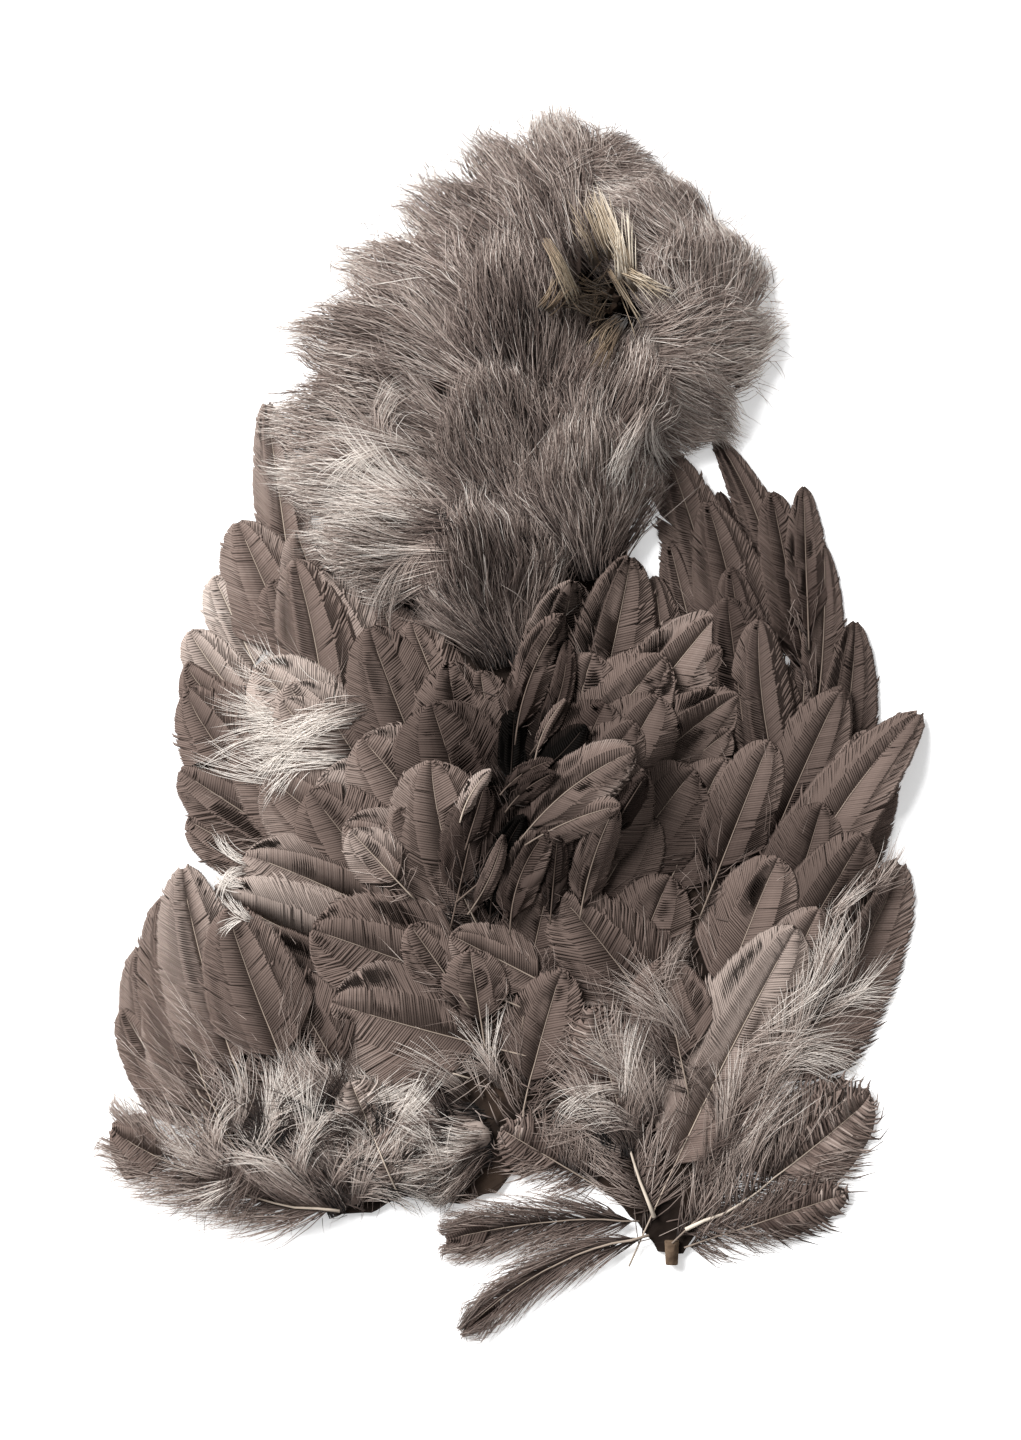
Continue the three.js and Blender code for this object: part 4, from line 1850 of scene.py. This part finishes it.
# The darkest feathers, with tones down to -0.5, are painted shade in the parting's hollow, and paler ones
# curl over their edges. Their paler margins (margin 0.14) are painted highlights.
PARTING = Parting(
    "parting_feathers_and_shade",
    Feather(tone=0.5, vane_from=0.12, arch=1.0, tip_lift=1.0, down_count=4, margin=0.14),
    (
        Covert((0, -13), (13, -1), 8, -1, 0.1, -0.38),
        Covert((-2, -14), (-1, 3), 6, 0, 0.1, -0.5),
        Covert((-6, -42), (1, -19), 6, 2, 0.1, -0.5),
        Covert((17, -24), (25, -11), 6, 0, 0.1, -0.45),
        Covert((6, -41), (7.5, -23), 6, 0, 0.1, -0.2),
        Covert((-1, -5), (9, 21), 9, 2, 0.2, -0.12),
        Covert((2, -7), (9.5, 16), 5, -2, 0.3, -0.2),
        Covert((3, -8), (9, 4), 2.5, 1, 0.4, 0.05),
        Covert((-2, -43), (5.5, -22), 9, 2, 0.3, -0.02),
        Covert((12, -40), (19, -17), 8, 1, 0.2, -0.06),
        Covert((1, -25), (20, -17), 8, 1, 0.2, -0.02),
        Covert((0, -24), (23, -6), 12, 2, 0.3, 0.03),
        Covert((-4, -15), (6.5, -8), 4, 1, 0.5, -0.02),
        Covert((-3, -18.5), (7, -10.5), 5, 1, 0.4, -0.02),
        Covert((-11, -26), (-7, -13), 7, 0, 0.2, -0.12),
        Covert((-12, -20.5), (-5.8, -10), 4, 1, 0.5, 0.22),
        Covert((-10.5, -39), (-3.3, -23), 4, -1, 0.3, 0.05),
    ),
    27,
)
LOOSE_DOWN = LooseDown(
    "loose_down",
    DOWN_FINISH,
    (
        Tuft((-37, -2), 176, 20, 1.15, 0.1, 9.0, 420, 0.7),
        Tuft((-42, -8), 190, 13, 1.1, 0.2, 5.0, 140, 0.8),
        Tuft((-18, 47), 163, 25, 0.88, 0.14, 4.0, 130, 0.7),
        Tuft((-16, 41), 174, 26, 0.95, 0.12, 3.5, 130, 0.7),
        Tuft((-15, 35), 190, 22, 0.84, 0.14, 3.5, 120, 0.7),
        Tuft((-14, 39), 185, 12, 0.42, 0.3, 5.0, 100),
        Tuft((-24, 54), 170, 20, 0.8, 0.2, 5.0, 120),
        Tuft((-56, -30), 180, 9, 1.1, 0.4, 3.0, 80),
        Tuft((-54, -39), 175, 8, 1.1, 0.4, 2.0, 60),
        Tuft((-8, -74), 105, 18, 0.9, 0.35, 4.0, 200),
        Tuft((-14, -80), 140, 14, 0.3, 0.4, 5.0, 100),
        Tuft((-54, -84), 62, 17, 0.88, 0.4, 5.0, 160),
        Tuft((-50, -86), 95, 13, 0.25, 0.5, 5.0, 130),
        Tuft((-44, -90), 100, 17, 0.88, 0.5, 5.0, 160),
        Tuft((-40, -84), 60, 13, 0.15, 0.6, 6.0, 170),
        Tuft((-34, -92), 75, 16, 0.9, 0.5, 5.0, 150),
        Tuft((-60, -89), 160, 15, 0.85, 0.5, 5.0, 170),
        Tuft((-28, -80), 60, 14, 0.95, 0.5, 5.0, 130),
        Tuft((-30, -88), 20, 12, 0.15, 0.6, 6.0, 150),
        Tuft((-16, -90), 165, 14, 0.98, 0.5, 5.0, 140),
        Tuft((-52, -91), 200, 12, 0.5, 0.5, 6.0, 130),
        Tuft((50, -66), 55, 24, 0.9, 0.28, 7.0, 340),
        Tuft((60, -56), 62, 18, 0.85, 0.3, 6.0, 200),
        Tuft((68, -38), 50, 13, 0.75, 0.3, 5.0, 110),
        Tuft((45, -42), 62, 13, 0.5, 0.3, 4.0, 120),
        Tuft((36, -92), 75, 12, 0.5, 0.4, 4.0, 150),
        Tuft((34, -67), 104, 21, 0.72, 0.3, 6.0, 220),
        Tuft((31, -55), 112, 14, 0.75, 0.35, 5.0, 120),
        Tuft((40, -84), 72, 20, 0.6, 0.4, 6.0, 200),
        Tuft((42, -88), 38, 22, 0.8, 0.3, 6.0, 190),
        Tuft((24, -74), 122, 18, 0.9, 0.3, 5.0, 190),
        Tuft((21, -82), 160, 14, 0.65, 0.4, 5.0, 130),
        Tuft((24, -84), 110, 19, 0.8, 0.25, 4.0, 120),
        Tuft((17, -86), 95, 14, 0.3, 0.4, 4.0, 90),
        Tuft((24, 58), 245, 13, 0.9, 0.2, 4.0, 140),
    ),
)
VENT_STRAW = LooseDown(
    "vent_straw",
    STRAW_FINISH,
    (
        Tuft((22, 86.5), 113, 21, 0.85, 0.05, 1.4, 60, 0.4),
        Tuft((21, 87.5), 95, 14, 1.1, 0.04, 1.0, 34, 0.4),
        Tuft((17, 92), 118, 13, 0.7, 0.12, 2.0, 40, 0.5),
        Tuft((19.5, 90), -25, 13, 0.85, 0.16, 1.6, 50, 0.6),
        Tuft((5.5, 95), -60, 15, 0.75, 0.08, 1.2, 44, 0.5),
        Tuft((10, 83), 10, 8, 0.45, 0.7, 4.0, 70, 1.6),
        Tuft((17, 81), 170, 9, 0.5, 0.7, 4.0, 60, 1.6),
        Tuft((21, 79), 238, 13, 0.35, 0.1, 1.4, 26, 0.4),
    ),
    curl=0.35,
    strand_width=0.34,
    lock_size=16,
    height=1.6,
    seed=37,
)
EDGE_HAIRS = LooseDown(
    "edge_hairs",
    DOWN_FINISH,
    (
        Tuft((-33, 93), 140, 7, 0.75, 0.3, 12.0, 70),
        Tuft((-19, 108), 122, 7, 0.78, 0.3, 12.0, 80),
        Tuft((-3, 116), 100, 7, 0.78, 0.3, 12.0, 80),
        Tuft((13, 115), 82, 7, 0.8, 0.3, 12.0, 90),
        Tuft((28, 107), 60, 8, 0.8, 0.3, 11.0, 90),
        Tuft((39, 96), 45, 8, 0.8, 0.3, 11.0, 90),
        Tuft((46, 84), 20, 8, 0.8, 0.3, 11.0, 90),
        Tuft((47, 71), -10, 8, 0.78, 0.3, 11.0, 80),
        Tuft((-32, -97), 262, 6, 0.35, 0.5, 16.0, 90),
        Tuft((-60, -94), 235, 6, 0.6, 0.5, 12.0, 90),
        Tuft((-10, -97), 275, 6, 0.45, 0.5, 14.0, 80),
        Tuft((-72, -84), 215, 7, 0.6, 0.4, 10.0, 90),
        Tuft((70, -84), -30, 8, 0.5, 0.4, 12.0, 90),
        Tuft((50, -102), -50, 8, 0.5, 0.4, 12.0, 80),
    ),
    curl=0.7,
    strand_width=0.13,
    lock_size=1,
    seed=41,
)


def main() -> None:
    """Builds the stage, the skin and each tract of feathers in the order that they were laid."""
    logging.basicConfig(level=logging.INFO, format="%(name)s %(message)s")
    Stage().build()
    for piece in Skin().build():
        LOG.info("built %s", piece.name)
    ground = Ground()
    ground.lay(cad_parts["skin"])
    cover = Cover.of_patch()
    for tract in TRACTS:
        made = tract.build(ground, cover)
        LOG.info("built %s: %d feathers", tract.name, len(made))
    LOG.info("built %s", PARTING.build(ground, cover).name)
    for wisps in (LOOSE_DOWN, VENT_STRAW, EDGE_HAIRS):
        LOG.info("built %s", wisps.build(cover.soft).name)
    faces = sum(len(piece.data.polygons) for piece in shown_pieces() if piece.type == "MESH")
    LOG.info("%d faces in all", faces)


if __name__ == "__main__":
    main()
